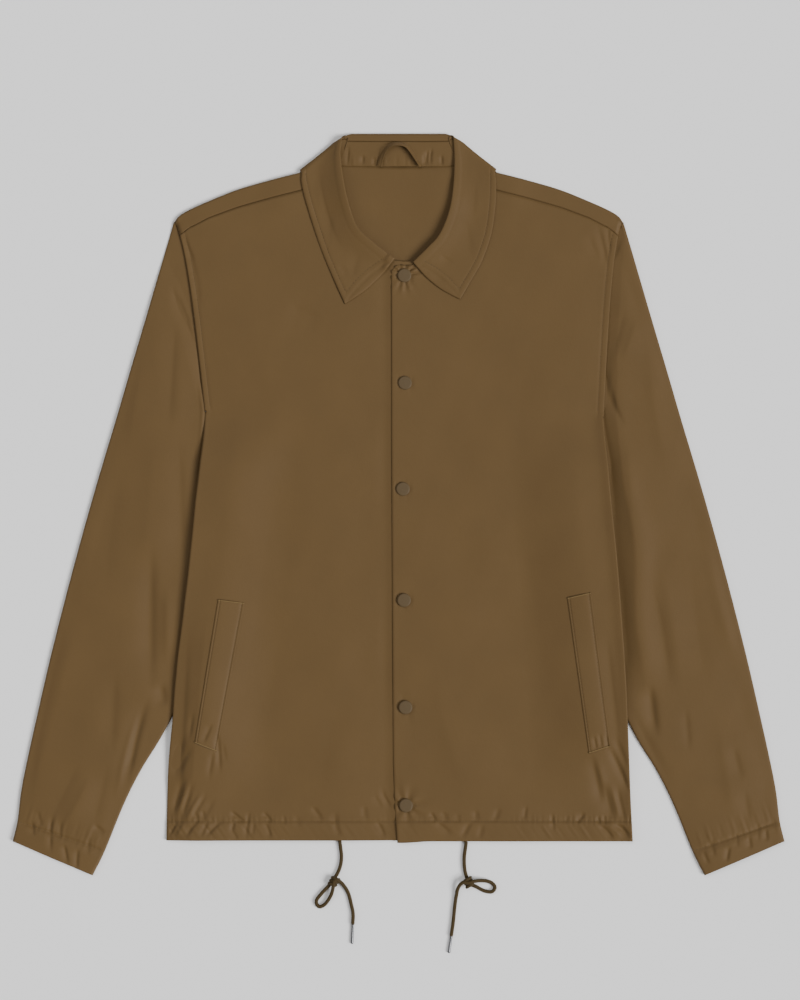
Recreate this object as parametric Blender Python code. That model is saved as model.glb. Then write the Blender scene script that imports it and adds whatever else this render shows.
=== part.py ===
"""Coach jacket laid flat on its back, front up.

One millimetre cloth walls, worked out from the garment's measures. X runs to the wearer's
left, Y to the collar, Z up from the surface that the jacket lies on. Sizes are millimetres.
"""
import math

import bmesh
import bpy
from mathutils import Vector

MM = 0.001

# Cloth and seams
WALL = 1.0
TUNNEL_WALL = 1.5
SEAM = 0.3
CLEAR = 0.5

# Loft of the laid garment
EDGE_LOFT = 4.0
PANEL_LOFT = 4.6
UNDERLAP_LOFT = 3.4
OVERLAP_LOFT = UNDERLAP_LOFT + SEAM + WALL
SLEEVE_LOFT = 5.8
TUNNEL_SWELL = 1.2
BODY_LIFT = 6.3
COLLAR_LIFT = 1.6

# Levels along the body
HEM_RIGHT = -345.6
HEM_LEFT = -346.4
TUNNEL_HEIGHT = 20.0
UNDERARM_RIGHT = (199.4, 95.3)
UNDERARM_LEFT = (210.8, 90.1)
SHOULDER_TIP = (231.0, 290.5)
ARMHOLE_BOW = 5.4
ARMHOLE_EASE = 0.55
TIP_TURN = (0.7071, 0.7071)
TIP_CLEAR = (0.35, -0.35)
SHOULDER_SEAM_AT = 0.07
SIDE_SEAM_TURN = 15.0
UNDERLAP_EDGE = 20.0
BACK_NECK = 347.2
NECK_HALF = 58.0

# Half width of the body at its side folds: up, wearer's right, wearer's left
SIDES = (
    (-350.0, 239.2, 241.2),
    (-304.4, 238.3, 238.9),
    (-263.2, 236.5, 237.1),
    (-220.9, 232.4, 235.3),
    (-174.6, 228.8, 233.2),
    (-98.4, 220.2, 228.0),
    (-46.9, 214.2, 223.7),
    (4.6, 209.1, 218.5),
    (40.7, 204.6, 215.2),
    (76.7, 200.6, 211.6),
    (97.0, 199.4, 210.8),
)

# Fold over the shoulder and the seam in front of it: out from the middle, up
SHOULDER = (
    (64.5, 352.0), (100.0, 342.0), (134.0, 333.3), (166.0, 324.0),
    (196.0, 312.0), (215.0, 303.5), (226.0, 297.0), (231.0, 290.5),
)
SHOULDER_SEAM = (
    (62.4, 334.0), (98.9, 324.2), (134.0, 315.2), (167.5, 305.6),
    (196.0, 295.0), (216.0, 284.8),
)

# Sleeve sections: outer fold out and up, inner fold out and up, extra on the wearer's left
SLEEVE = (
    (231.0, 290.5, 199.4, 95.3, 11.4),
    (245.8, 241.5, 201.2, 82.9, 12.0),
    (260.2, 192.1, 203.2, 66.4, 12.0),
    (276.7, 136.5, 204.8, 45.8, 11.5),
    (291.1, 87.0, 199.4, 19.1, 10.0),
    (309.6, 25.2, 193.2, -20.1, 8.0),
    (327.1, -36.6, 192.2, -74.7, 7.0),
    (343.6, -98.4, 199.4, -133.4, 5.0),
    (359.1, -160.2, 218.0, -187.0, 2.0),
    (371.4, -213.7, 242.7, -236.4, 0.0),
    (381.7, -260.1, 265.3, -273.5, 0.0),
    (388.4, -294.1, 282.8, -308.5, 0.0),
    (392.3, -325.5, 302.4, -356.5, 0.0),
    (397.2, -346.6, 314.8, -381.6, 0.0),
)

# Front neckline from the placket to the shoulder seam: out, up
NECK_RIGHT = (
    (-UNDERLAP_EDGE, 250.0), (0.0, 250.5), (21.2, 255.0), (37.7, 266.0),
    (51.0, 284.8), (58.3, 308.5), (62.4, 334.0),
)
NECK_LEFT = (
    (-7.6, 240.0), (-1.0, 246.0), (15.5, 246.5), (33.0, 254.5),
    (46.0, 268.0), (54.5, 284.8), (60.0, 308.5), (62.4, 334.0),
)

# Placket edge of the top front: up, x
PLACKET = (
    (-350.0, -1.0),
    (-312.0, -3.9),
    (-263.0, -5.6),
    (-60.0, -6.8),
    (210.0, -7.8),
    (240.0, -7.6),
)

# Gathers along the hem, distance from the middle of the body, and around each cuff face
HEM_GATHERS = (24.0, 41.0, 60.0, 76.0, 103.0, 122.0, 135.0, 154.0, 168.0, 186.0, 201.0, 215.0, 227.0)
HEM_GATHER_DEPTH = 0.7
CUFF_GATHERS = (0.09, 0.24, 0.42, 0.58, 0.74, 0.9)
CUFF_GATHER_DEPTH = 0.8
GATHER_REACH = 22.0

# Rows and columns of the walls
TUNNEL_ROWS = (0.0, 6.0, 13.0, TUNNEL_HEIGHT, 27.0, 42.0)
BODY_ROWS = (-272.0, -235.0, -195.0, -155.0, -110.0, -70.0, -30.0, 8.0, 40.0, 68.0)
PLACKET_DROP = 1.6
NECK_SHARE = 0.26
SHOULDER_COLUMNS = (0.0, 0.12, 0.26, 0.42, 0.57, 0.72, 0.86, 0.95, 1.0)
SLEEVE_RINGS = (
    0.0, 0.5, 1.0, 1.6, 2.2, 2.8, 3.4, 4.2, 5.0, 6.0, 7.0, 8.0, 8.8, 9.6, 10.3, 10.9,
    11.3, 11.65, 11.85, 12.05, 12.45, 13.0,
)
SLEEVE_SPOTS = (0.13, 0.28, 0.43, 0.58, 0.73, 0.88)
SLEEVE_UNDER_SPOTS = (0.25, 0.5, 0.75)
BACK_LEVELS = (135.0, 168.0, 200.0)
BACK_SHARES = (0.3, 0.55, 0.72, 0.86)
FRONT_ARMHOLE = ((0.88, 135.0), (0.72, 175.0), (0.58, 214.0))
NECK_BASE_AT = 0.48
CUFF_STITCH = 12.0
SEAM_AT_ARMHOLE = 0.45

# Large creases on the top cloth: x, y of each end, half width, depth
CREASES = (
    (-231.0, -205.0, -214.0, -318.0, 6.0, 1.1),
    (-216.0, -258.0, -200.0, -322.0, 5.5, 1.0),
    (-196.0, -268.0, -222.0, -322.0, 5.0, 0.8),
    (232.0, -205.0, 216.0, -318.0, 6.0, 1.1),
    (218.0, -258.0, 203.0, -322.0, 5.5, 1.0),
    (-222.0, 262.0, -196.0, 150.0, 6.0, 0.7),
    (222.0, 262.0, 203.0, 150.0, 6.0, 0.7),
    (-262.0, -60.0, -252.0, -232.0, 9.0, 1.6),
    (-281.0, -140.0, -286.0, -290.0, 8.0, 1.2),
    (262.0, -60.0, 254.0, -232.0, 9.0, 1.6),
    (281.0, -140.0, 288.0, -290.0, 8.0, 1.2),
    (-252.0, 190.0, -236.0, 60.0, 8.0, 1.0),
    (252.0, 190.0, 240.0, 60.0, 8.0, 1.0),
)

# Collar sections: roll x and y, free edge x and y, roll height, turn under, neck seam x and y
COLLAR_RIGHT = (
    (-3.9, 253.0, -55.4, 206.1, 1.8, 0.0, -8.0, 253.9),
    (-27.6, 271.0, -67.5, 233.0, 4.4, 0.0, -32.3, 263.0),
    (-41.8, 284.5, -79.6, 262.1, 6.2, 0.0, -46.8, 279.8),
    (-49.8, 304.4, -90.6, 295.1, 7.0, 0.0, -55.6, 302.5),
    (-55.5, 328.0, -97.5, 319.0, 6.4, 0.0, -60.4, 325.0),
    (-59.6, 357.0, -100.2, 332.5, 4.6, 0.0, -63.0, 345.0),
    (-58.6, 373.0, -100.0, 340.0, 2.8, 0.0, -63.4, 350.0),
    (-56.4, 379.4, -101.0, 343.0, 2.2, 0.18, -63.6, 351.6),
    (-54.6, 381.2, -101.6, 344.6, 2.0, 0.5, -63.4, 352.0),
    (-52.0, 381.6, -101.0, 343.6, 2.0, 0.88, -61.6, 351.0),
    (-48.0, 381.6, -97.0, 339.5, 2.0, 1.0, -57.0, 348.2),
    (-26.0, 381.6, -50.0, 328.0, 2.0, 1.0, -28.0, 347.8),
)
COLLAR_LEFT = (
    (14.6, 249.4, 63.4, 210.9, 1.8, 0.0, 17.2, 248.9),
    (30.0, 264.5, 73.5, 228.5, 4.4, 0.0, 34.6, 257.0),
    (41.6, 277.5, 86.0, 251.0, 6.2, 0.0, 47.0, 270.8),
    (51.0, 298.2, 95.5, 279.0, 7.0, 0.0, 56.4, 296.0),
    (56.0, 320.3, 99.6, 308.0, 6.4, 0.0, 60.2, 317.5),
    (58.4, 349.0, 100.2, 331.0, 4.6, 0.0, 63.0, 344.0),
    (57.4, 372.5, 99.2, 340.5, 2.8, 0.0, 63.4, 350.0),
    (55.8, 379.6, 100.2, 343.8, 2.2, 0.18, 63.6, 351.6),
    (54.0, 381.4, 100.4, 345.4, 2.0, 0.5, 63.4, 352.0),
    (51.6, 381.6, 99.8, 344.4, 2.0, 0.88, 61.6, 351.0),
    (48.0, 381.6, 95.5, 340.0, 2.0, 1.0, 57.0, 348.2),
    (26.0, 381.6, 50.0, 328.0, 2.0, 1.0, 28.0, 347.8),
)
COLLAR_MIDDLE = (0.0, 381.6, 0.0, 323.5, 2.0, 1.0, 0.0, 347.8)
LEAF_TIP_BOW = 4.5
STAND_TOP = 4.3
SEAM_BELOW_ROLL = 8.0
LEAF_CLEAR = 0.5
NECK_SET_IN = 0.8
ROLL_DEPTH = 3.0
CORNER_DEPTH = 0.4
CORNER_SWING = 1.0
CORNER_SPREAD = 2.4

# Leaf from its seam over the roll. Above lies on the fronts and below turns into the back:
# out above, drop from the top in roll depths and in rises, out below, height below, spread
LEAF_ROLL = (
    (1.9, 1.0, 0.0, SEAM_BELOW_ROLL, STAND_TOP, -0.4),
    (0.45, 0.8, 0.0, 4.5, STAND_TOP + 0.1, -0.4),
    (0.0, 0.38, 0.0, 1.2, STAND_TOP - 0.3, 0.4),
    (0.9, 0.05, 0.0, 0.0, 2.3, 1.0),
    (5.5, 0.0, 0.15, 1.2, 0.45, 1.0),
)
# Leaf beyond the roll: out above, lift in rises, out below, spread
LEAF_NEAR = ((12.0, 0.5, 5.0, 0.5), (21.0, 0.16, 16.0, 0.2))
LEAF_FAR_SHARES = (0.6, 0.82, 1.0)
LEAF_STRIP_POINTS = 3

# Hanger loop
LOOP_HALF_SPAN = 19.8
LOOP_CENTRE = 2.0
LOOP_RISE = 19.5
LOOP_WIDTH = 5.5
LOOP_WALL = 0.8

# Pocket welts: corners x and y, from the upper inner one round to the upper outer one
WELT_RIGHT = ((-158.2, -100.1), (-187.0, -254.5), (-209.4, -245.2), (-185.4, -96.8))
WELT_LEFT = ((173.0, -94.9), (195.4, -256.5), (217.7, -249.3), (197.3, -89.3))

# Snap caps: x, y from the neck down
SNAPS = ((6.0, 235.6), (6.6, 125.1), (4.5, 16.0), (5.6, -98.4), (7.1, -208.6), (7.6, -309.5))
SNAP_RADIUS = 7.5
SNAP_HEIGHT = 2.0
SNAP_ROUND = 1.1
WELT_CROWN = 0.4

# Drawcord ends: x, y, height of the cord's middle above the surface
CORD_RADIUS = 2.0
CORD_STEPS = 2
AGLET_RADIUS = 1.45
CORD_RIGHT = (
    (-60.6, -346.1, 2.0), (-59.6, -354.0, 2.0), (-58.8, -361.5, 2.0), (-59.5, -370.0, 2.0),
    (-62.4, -378.6, 2.0), (-66.6, -385.4, 2.0), (-70.6, -391.0, 2.0), (-78.6, -399.6, 2.0),
    (-84.6, -408.0, 2.0), (-81.8, -414.0, 2.0), (-75.2, -410.8, 2.2), (-69.4, -401.6, 3.6),
    (-67.2, -393.0, 6.2), (-66.2, -387.2, 6.9), (-62.6, -386.2, 6.6), (-56.8, -391.4, 4.2),
    (-51.8, -400.0, 2.2), (-48.4, -412.8, 2.0), (-46.8, -422.0, 2.0), (-47.2, -431.9, 2.0),
)
CORD_LEFT = (
    (69.6, -346.95, 2.0), (68.6, -355.0, 2.0), (67.6, -363.0, 2.0), (67.8, -373.0, 2.0),
    (69.4, -381.4, 2.0), (72.9, -389.8, 2.0), (80.0, -393.4, 2.0), (88.0, -397.6, 2.0),
    (95.8, -398.6, 2.0), (99.2, -393.8, 2.0), (94.8, -388.8, 2.2), (86.4, -387.0, 3.6),
    (78.4, -387.2, 6.2), (72.2, -388.8, 6.9), (66.0, -388.6, 6.6), (61.4, -394.2, 4.2),
    (59.2, -404.0, 2.2), (57.6, -416.0, 2.0), (56.2, -430.0, 2.0), (54.2, -444.0, 2.0),
)
AGLET_RIGHT_LENGTH = 20.0
AGLET_LEFT_LENGTH = 17.5

# Colours, linear, with roughness and metallic
NYLON = ((0.147, 0.089, 0.034), 0.62, 0.0)
NYLON_DARK = ((0.110, 0.066, 0.026), 0.7, 0.0)
CORD = ((0.085, 0.055, 0.024), 0.85, 0.0)
SNAP_METAL = ((0.118, 0.083, 0.052), 0.42, 0.6)
AGLET_METAL = ((0.35, 0.35, 0.36), 0.3, 1.0)


def smooth(t):
    """Ease from 0 to 1 while t goes from 0 to 1."""
    t = min(1.0, max(0.0, t))
    return t * t * (3.0 - 2.0 * t)


def mix(a, b, t):
    """Blend two rows of numbers."""
    return tuple(p + (q - p) * t for p, q in zip(a, b))


def read(table, at):
    """The row of a table at a value of its first column, on a cubic through the rows."""
    rows = list(table)
    last = len(rows) - 1
    if rows[0][0] > rows[last][0]:
        rows.reverse()
    at = min(max(at, rows[0][0]), rows[last][0])
    i = 0
    while i < last - 1 and at > rows[i + 1][0]:
        i += 1
    t = (at - rows[i][0]) / (rows[i + 1][0] - rows[i][0])
    return through(rows, i + t)


def through(rows, place):
    """Catmull-Rom curve through rows of numbers, at a place counted in rows."""
    last = len(rows) - 1
    i = min(int(place), last - 1)
    t = place - i
    a, b = rows[i], rows[i + 1]
    before = rows[i - 1] if i else tuple(2 * p - q for p, q in zip(a, b))
    after = rows[i + 2] if i + 2 <= last else tuple(2 * q - p for p, q in zip(a, b))
    return tuple(
        q + 0.5 * t * (r - p + t * (2 * p - 5 * q + 4 * r - s + t * (3 * (q - r) + s - p)))
        for p, q, r, s in zip(before, a, b, after)
    )


def toward(a, b):
    """Unit step in the plan from a to b, and the distance."""
    dx, dy = b[0] - a[0], b[1] - a[1]
    far = math.hypot(dx, dy)
    return dx / far, dy / far, far


# Outline of the body. Side is -1 for the wearer's right and +1 for the left.


def underarm(side):
    return UNDERARM_RIGHT if side < 0 else UNDERARM_LEFT


def armhole_bow(t):
    """How far the armhole bows in from the straight line between its ends."""
    return ARMHOLE_BOW * math.sin(math.pi * max(0.0, t) ** ARMHOLE_EASE)


def armhole(side, t):
    """Seam point from the shoulder tip at 0 to the underarm at 1, out from the middle and up."""
    tip, under = SHOULDER_TIP, underarm(side)
    along = toward(tip, under)
    x, y = mix(tip, under, t)
    bow = armhole_bow(t)
    return x + along[1] * bow, y - along[0] * bow


def shoulder_seam(side, out):
    """Height up the plan of the seam in front of the shoulder."""
    return read(SHOULDER_SEAM + (armhole(side, SHOULDER_SEAM_AT),), out)[1]


def edge_out(side, y):
    """How far out the body's edge is: the side fold below the underarm, the armhole above it."""
    tip, under = SHOULDER_TIP, underarm(side)
    if y <= under[1]:
        return read(SIDES, y)[1 if side < 0 else 2]
    t = (tip[1] - min(y, tip[1])) / (tip[1] - under[1])
    return armhole(side, t)[0]


def base(x, y):
    """Height of the body's underside: it lies on the sleeves' inner folds and on the collar."""
    side = -1 if x < 0 else 1
    inside = edge_out(side, y) - abs(x)
    along = smooth((underarm(side)[1] - y) / 62.0) * smooth((y + 322.0) / 100.0)
    across = 1.0 - smooth((inside - 31.0) / 72.0)
    collar = smooth((y - 292.0) / 26.0) * smooth((152.0 - abs(x)) / 36.0)
    return BODY_LIFT * along * across + COLLAR_LIFT * collar


def tunnel(y):
    """One in the hem tunnel, nought above its stitch line."""
    return smooth((HEM_RIGHT + TUNNEL_HEIGHT + 5.0 - y) / 8.0)


def creases(x, y):
    """Depth of the large creases at a point of the plan."""
    depth = 0.0
    for ax, ay, bx, by, half, deep in CREASES:
        ex, ey, far = toward((ax, ay), (bx, by))
        run = ((x - ax) * ex + (y - ay) * ey) / far
        off = (x - ax) * ey - (y - ay) * ex
        if -0.2 < run < 1.2:
            fade = smooth((run + 0.2) / 0.4) * smooth((1.2 - run) / 0.4)
            depth += deep * fade * math.exp(-((off / half) ** 2))
    return depth


def gathers(out, y):
    """Depth of the hem gathers at a distance from the middle."""
    reach = smooth((HEM_RIGHT + TUNNEL_HEIGHT + GATHER_REACH - y) / GATHER_REACH)
    nearest = min(abs(out - place) for place in HEM_GATHERS)
    return HEM_GATHER_DEPTH * reach * math.cos(min(nearest / 7.0, 1.0) * math.pi)


def loft(x, y, front):
    """Thickness of the laid body under its top cloth. Front is -1, +1, or 0 for the back's wrap."""
    side = front or (-1 if x < 0 else 1)
    inside = edge_out(side, y) - abs(x)
    if abs(x) > SHOULDER[0][0]:
        inside = min(inside, read(SHOULDER, abs(x))[1] - y)
    height = EDGE_LOFT + (PANEL_LOFT - EDGE_LOFT) * smooth(inside / 40.0)
    middle = 0.0
    if front < 0:
        middle = smooth((x + 70.0) / 58.0)
        height += (UNDERLAP_LOFT - PANEL_LOFT) * middle
        height += TUNNEL_SWELL * tunnel(y) * (1.0 - 0.6 * middle)
    else:
        middle = smooth((70.0 - x) / 50.0) if front > 0 else 0.0
        height += (OVERLAP_LOFT - PANEL_LOFT) * middle + TUNNEL_SWELL * tunnel(y)
    free = (1.0 - middle) * smooth(inside / 8.0)
    return height - free * (creases(x, y) + gathers(abs(x), y))


def body_top(x, y, front):
    return base(x, y) + loft(x, y, front)


# Mesh building


def material(name, look):
    colour, rough, metal = look
    mat = bpy.data.materials.new(name)
    mat.use_nodes = True
    shader = mat.node_tree.nodes["Principled BSDF"]
    shader.inputs["Base Color"].default_value = (*colour, 1.0)
    shader.inputs["Roughness"].default_value = rough
    shader.inputs["Metallic"].default_value = metal
    mat.diffuse_color = (*colour, 1.0)
    return mat


def place(name, data, look):
    obj = bpy.data.objects.new(name, data)
    bpy.context.scene.collection.objects.link(obj)
    obj.data.materials.append(material(name + "_finish", look))
    return obj


def bridge(bm, lower, upper):
    """Faces between two rows of (place, vertex), quads where their places agree."""
    if [round(p, 6) for p, _ in lower] == [round(p, 6) for p, _ in upper]:
        for (_, a), (_, b), (_, c), (_, d) in zip(lower, lower[1:], upper[1:], upper):
            bm.faces.new((a, b, c, d))
        return
    i = j = 0
    while i < len(lower) - 1 or j < len(upper) - 1:
        next_low = lower[i + 1][0] if i < len(lower) - 1 else math.inf
        next_up = upper[j + 1][0] if j < len(upper) - 1 else math.inf
        if next_low <= next_up:
            bm.faces.new((lower[i][1], lower[i + 1][1], upper[j][1]))
            i += 1
        else:
            bm.faces.new((lower[i][1], upper[j + 1][1], upper[j][1]))
            j += 1


def cloth(name, patches, look, up_at, thick=None, wall=WALL):
    """A cloth piece: patches of rows of (place, point), given a wall on their inner side.

    The face nearest to up_at looks up. thick says how thick the wall is at a point.
    """
    bm = bmesh.new()
    for rows in patches:
        made = [[(p, bm.verts.new(Vector(q) * MM)) for p, q in row] for row in rows]
        for lower, upper in zip(made, made[1:]):
            bridge(bm, lower, upper)
    bmesh.ops.remove_doubles(bm, verts=bm.verts, dist=0.02 * MM)
    bmesh.ops.recalc_face_normals(bm, faces=bm.faces)
    target = Vector(up_at) * MM
    nearest = min(bm.faces, key=lambda face: (face.calc_center_median() - target).length)
    if nearest.normal.z < 0:
        bmesh.ops.reverse_faces(bm, faces=bm.faces)
    mesh = bpy.data.meshes.new(name)
    bm.to_mesh(mesh)
    bm.free()
    mesh.shade_smooth()
    obj = place(name, mesh, look)
    solid = obj.modifiers.new("Wall", "SOLIDIFY")
    solid.offset = -1.0
    solid.use_even_offset = True
    solid.use_rim = True
    solid.thickness = wall * MM
    if thick:
        solid.thickness = TUNNEL_WALL * MM
        group = obj.vertex_groups.new(name="wall")
        for vert in mesh.vertices:
            part = thick(vert.co / MM) / TUNNEL_WALL
            group.add([vert.index], part, "REPLACE")
        solid.vertex_group = group.name
    return obj


def hem_wall(point):
    return WALL + (TUNNEL_WALL - WALL) * tunnel(point.y)


# Fronts


def hem_columns(front):
    """Places across a front, from its middle edge at 0 to its side fold at 1, at each gather."""
    half = edge_out(front, HEM_RIGHT)
    start = 7.6 if front > 0 else UNDERLAP_EDGE
    span = half + start
    ridges = [0.5 * (a + b) for a, b in zip(HEM_GATHERS, HEM_GATHERS[1:])]
    outs = [-start, 4.0, 14.0, half - 6.0, half] + list(HEM_GATHERS) + ridges
    outs += [-8.0] if front < 0 else []
    return sorted({round((out + start) / span, 6) for out in outs if out <= half})


def front_rows(front):
    """Rows of a front from the hem up: middle point, outer point, whether the side folds there."""
    hem = HEM_RIGHT if front < 0 else HEM_LEFT
    under = underarm(front)
    neck = NECK_RIGHT if front < 0 else NECK_LEFT
    levels = [hem + rise for rise in TUNNEL_ROWS] + list(BODY_ROWS)
    rows = []
    for y in levels:
        middle = UNDERLAP_EDGE if front < 0 else read(PLACKET, y)[1]
        rows.append(((middle, y), (front * edge_out(front, y), y), True))
    middle = UNDERLAP_EDGE if front < 0 else PLACKET[-1][1]
    rows.append(((middle, under[1] + 4.0), (front * under[0], under[1]), True))
    for t, y in FRONT_ARMHOLE:
        out, up = armhole(front, t)
        rows.append(((middle, y), (front * out, up), False))
    steps = len(neck) - 1
    for i, point in enumerate(neck):
        out, up = armhole(front, neck_row_at(i / steps))
        rows.append(((front * point[0], point[1]), (front * out, up), False))
    return rows


def neck_row_at(share):
    """Place on the armhole of a row that starts on the neckline."""
    return NECK_BASE_AT + (SHOULDER_SEAM_AT - NECK_BASE_AT) * share


def armhole_spots(side):
    """Places on the armhole where the front's rows end, and where the back's rows end."""
    steps = len(NECK_RIGHT if side < 0 else NECK_LEFT) - 1
    top = [t for t, _ in FRONT_ARMHOLE] + [neck_row_at(i / steps) for i in range(steps + 1)]
    top += [SHOULDER_SEAM_AT * 0.5]
    tip, low = SHOULDER_TIP[1], underarm(side)[1]
    under = [(tip - y) / (tip - low) for y in BACK_LEVELS]
    under += [under[-1] * (1.0 - share) for share in BACK_SHARES]
    return sorted(top), sorted(under)


def side_radius(y):
    return 0.5 * (EDGE_LOFT + TUNNEL_SWELL * tunnel(y))


def side_seam(front, y):
    """Distance from the side fold to the side seam on the underside."""
    return 3.2 + SIDE_SEAM_TURN * smooth((underarm(front)[1] - y) / 70.0)


def front_panel(name, front):
    fine = hem_columns(front)
    coarse = fine[::2] if len(fine) % 2 else fine[::2] + [fine[-1]]
    rows, side = [], []
    drawn = front_rows(front)
    neck_start = len(drawn) - len(NECK_RIGHT if front < 0 else NECK_LEFT)
    for index, (middle, outer, folds) in enumerate(drawn[:-1]):
        if folds:
            outer_end = (outer[0] - front * side_radius(outer[1]), outer[1])
        else:
            outer_end = outer
        row = []
        for u in fine if index < len(TUNNEL_ROWS) else coarse:
            x, y = mix(middle, outer_end, u)
            if front > 0 and index < 3:
                y -= PLACKET_DROP * smooth((34.0 - x) / 30.0) * (1.0 - index / 3.0)
            if index > neck_start:
                share = (index - neck_start) / (len(drawn) - 1 - neck_start)
                straight = mix(drawn[-1][0], drawn[-1][1], u)
                y += share ** 2 * (shoulder_seam(front, abs(straight[0])) - straight[1] - SEAM)
            row.append((u, (x, y, body_top(x, y, front))))
        rows.append(row)
        if folds:
            side.append(side_wrap(front, outer, row[-1][1]))
    seam = []
    for share, out, y in seam_points(front):
        seam.append((share, (front * out, y - SEAM, body_top(front * out, y - SEAM, front))))
    rows.append(seam)
    return cloth(name, [rows, side], NYLON, (front * 100.0, 0.0, 10.0), hem_wall)


def seam_points(side):
    """Points of the shoulder seam from the neck to the armhole: share of the way, out, up."""
    first, last = SHOULDER_SEAM[0][0], armhole(side, SHOULDER_SEAM_AT)[0]
    outs = [(share, first + (last - first) * share) for share in SHOULDER_COLUMNS]
    return [(share, out, shoulder_seam(side, out)) for share, out in outs]


def side_wrap(front, outer, tangent):
    """The front's turn round the side fold to the side seam on the underside."""
    x, y = outer
    wide = side_radius(y)
    low = base(tangent[0], y)
    tall = 0.5 * (tangent[2] - low)
    row = [(0.0, tangent)]
    for k, angle in enumerate((45.0, 0.0, -45.0, -90.0)):
        turn = math.radians(angle)
        px = x - front * wide * (1.0 - math.cos(turn))
        row.append((1.0 + k, (px, y, low + tall + tall * math.sin(turn))))
    px = x - front * (side_seam(front, y) + 0.1)
    row.append((5.0, (px, y, base(px, y))))
    return row


# Back


def top_edge(side, u):
    """Top edge of the back on its underside, at u from the middle at 0 to the armhole at 1."""
    if u <= NECK_SHARE:
        return NECK_HALF * u / NECK_SHARE, BACK_NECK
    first, last = SHOULDER[0][0], SHOULDER[-1][0]
    out = first + (last - first) * (u - NECK_SHARE - 0.02) / (0.98 - NECK_SHARE)
    return shoulder_point(max(out, first), 0.5 * EDGE_LOFT)


def shoulder_point(out, inset):
    """Point in the plan at an inset from the shoulder fold."""
    x, y = read(SHOULDER, out)
    dx, dy, _ = toward(read(SHOULDER, out - 0.5), read(SHOULDER, out + 0.5))
    if out <= SHOULDER[0][0]:
        return x, y - inset
    if out >= SHOULDER[-1][0]:
        return x - TIP_TURN[0] * inset, y - TIP_TURN[1] * inset
    return x + dy * inset, y - dx * inset


def back_columns():
    neck = [NECK_SHARE * k / 2.0 for k in range(3)]
    shoulder = [NECK_SHARE + 0.02 + (0.98 - NECK_SHARE) * k for k in SHOULDER_COLUMNS]
    return neck, shoulder


def back_half(side):
    """Rows of one half of the back, from the hem up to the neck and the shoulder fold."""
    neck, shoulder = back_columns()
    places = neck + shoulder
    rows = []
    under = underarm(side)
    middle = 0.5 * (UNDERARM_LEFT[1] + UNDERARM_RIGHT[1])
    levels = [(HEM_RIGHT + rise, HEM_RIGHT + rise) for rise in (0.0, TUNNEL_HEIGHT - 1.0, 27.0)]
    levels += [(y, y) for y in BODY_ROWS] + [(middle, under[1])]
    for y_middle, y_side in levels:
        half = edge_out(side, y_side) - side_seam(side, y_side) - SEAM - 0.1
        rows.append([
            (u, flat_point(side * u * half, y_middle + (y_side - y_middle) * u)) for u in places
        ])
    start = BACK_LEVELS[-1]
    for y in BACK_LEVELS:
        half = edge_out(side, y)
        rows.append([(u, flat_point(side * u * half, y)) for u in places])
    t_start = (SHOULDER_TIP[1] - start) / (SHOULDER_TIP[1] - under[1])
    for share in BACK_SHARES + (1.0,):
        row = []
        for u in places:
            top = top_edge(side, u)
            x = mix((u * edge_out(side, start),), (top[0],), share)[0]
            y = mix((start,), (top[1],), share)[0]
            if u == places[-1] and share < 1.0:
                x, y = armhole(side, t_start * (1.0 - share))
            row.append((u, flat_point(side * x, y)))
        rows.append(row)
    return rows


def flat_point(x, y):
    return x, y, base(x, y)


def shoulder_wrap(side):
    """Rows of the back's turn over the shoulder, from the underside to the seam in front."""
    _, shoulder = back_columns()
    first, last = SHOULDER[0][0], SHOULDER[-1][0]
    radius = 0.5 * EDGE_LOFT
    rows = []
    for angle in (-90.0, -45.0, 0.0, 45.0, 90.0):
        turn = math.radians(angle)
        row = []
        for u, share in zip(shoulder, SHOULDER_COLUMNS):
            out = first + (last - first) * share
            x, y = shoulder_point(out, radius * (1.0 - math.cos(turn)))
            deep = shoulder_point(out, radius)
            low = base(side * deep[0], deep[1])
            tall = 0.5 * (body_top(side * deep[0], deep[1], 0) - low)
            row.append((u, (side * x, y, low + tall * (1.0 + math.sin(turn)))))
        rows.append(row)
    for share_down in (0.5, 1.0):
        row = []
        for u, (share, out, up) in zip(shoulder, seam_points(side)):
            deep = shoulder_point(first + (last - first) * share, radius)
            x, y = mix(deep, (out, up), share_down)
            if share == 1.0:
                x, y = armhole(side, SHOULDER_SEAM_AT * share_down)
            row.append((u, (side * x, y, body_top(side * x, y, 0))))
        rows.append(row)
    return rows


def back_panel():
    patches = []
    for side in (-1, 1):
        patches += [back_half(side), shoulder_wrap(side)]
    return cloth("back_panel", patches, NYLON, (150.0, 318.0, 8.0), hem_wall)


# Sleeves


def sleeve_rung(side, at):
    ox, oy, ix, iy, extra = through(SLEEVE, at)
    ix += extra if side > 0 else 0.0
    return (ox, oy), (ix, iy)


def fold_normal(side, at, which):
    """Unit step in the plan out of the sleeve at its outer (0) or inner (1) fold.

    It is square to the fold, but for the shoulder tip, where the armhole seam crosses it.
    """
    before = sleeve_rung(side, max(0.0, at - 0.1))[which]
    after = sleeve_rung(side, min(len(SLEEVE) - 1.0, at + 0.1))[which]
    dx, dy, _ = toward(before, after)
    if which == 1:
        return dy, -dx
    nx, ny, _ = toward((0.0, 0.0), mix(TIP_TURN, (-dy, dx), min(1.0, at)))
    return nx, ny


def fold_line(side, at, which, inset):
    """Point of a sleeve's fold, set in from the outline."""
    x, y = sleeve_rung(side, at)[which]
    nx, ny = fold_normal(side, at, which)
    near = max(0.0, 1.0 - at)
    x += SEAM_AT_ARMHOLE * near
    if which == 0:
        x += TIP_CLEAR[0] * near
        y += TIP_CLEAR[1] * near
    return x - nx * inset, y - ny * inset


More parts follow.
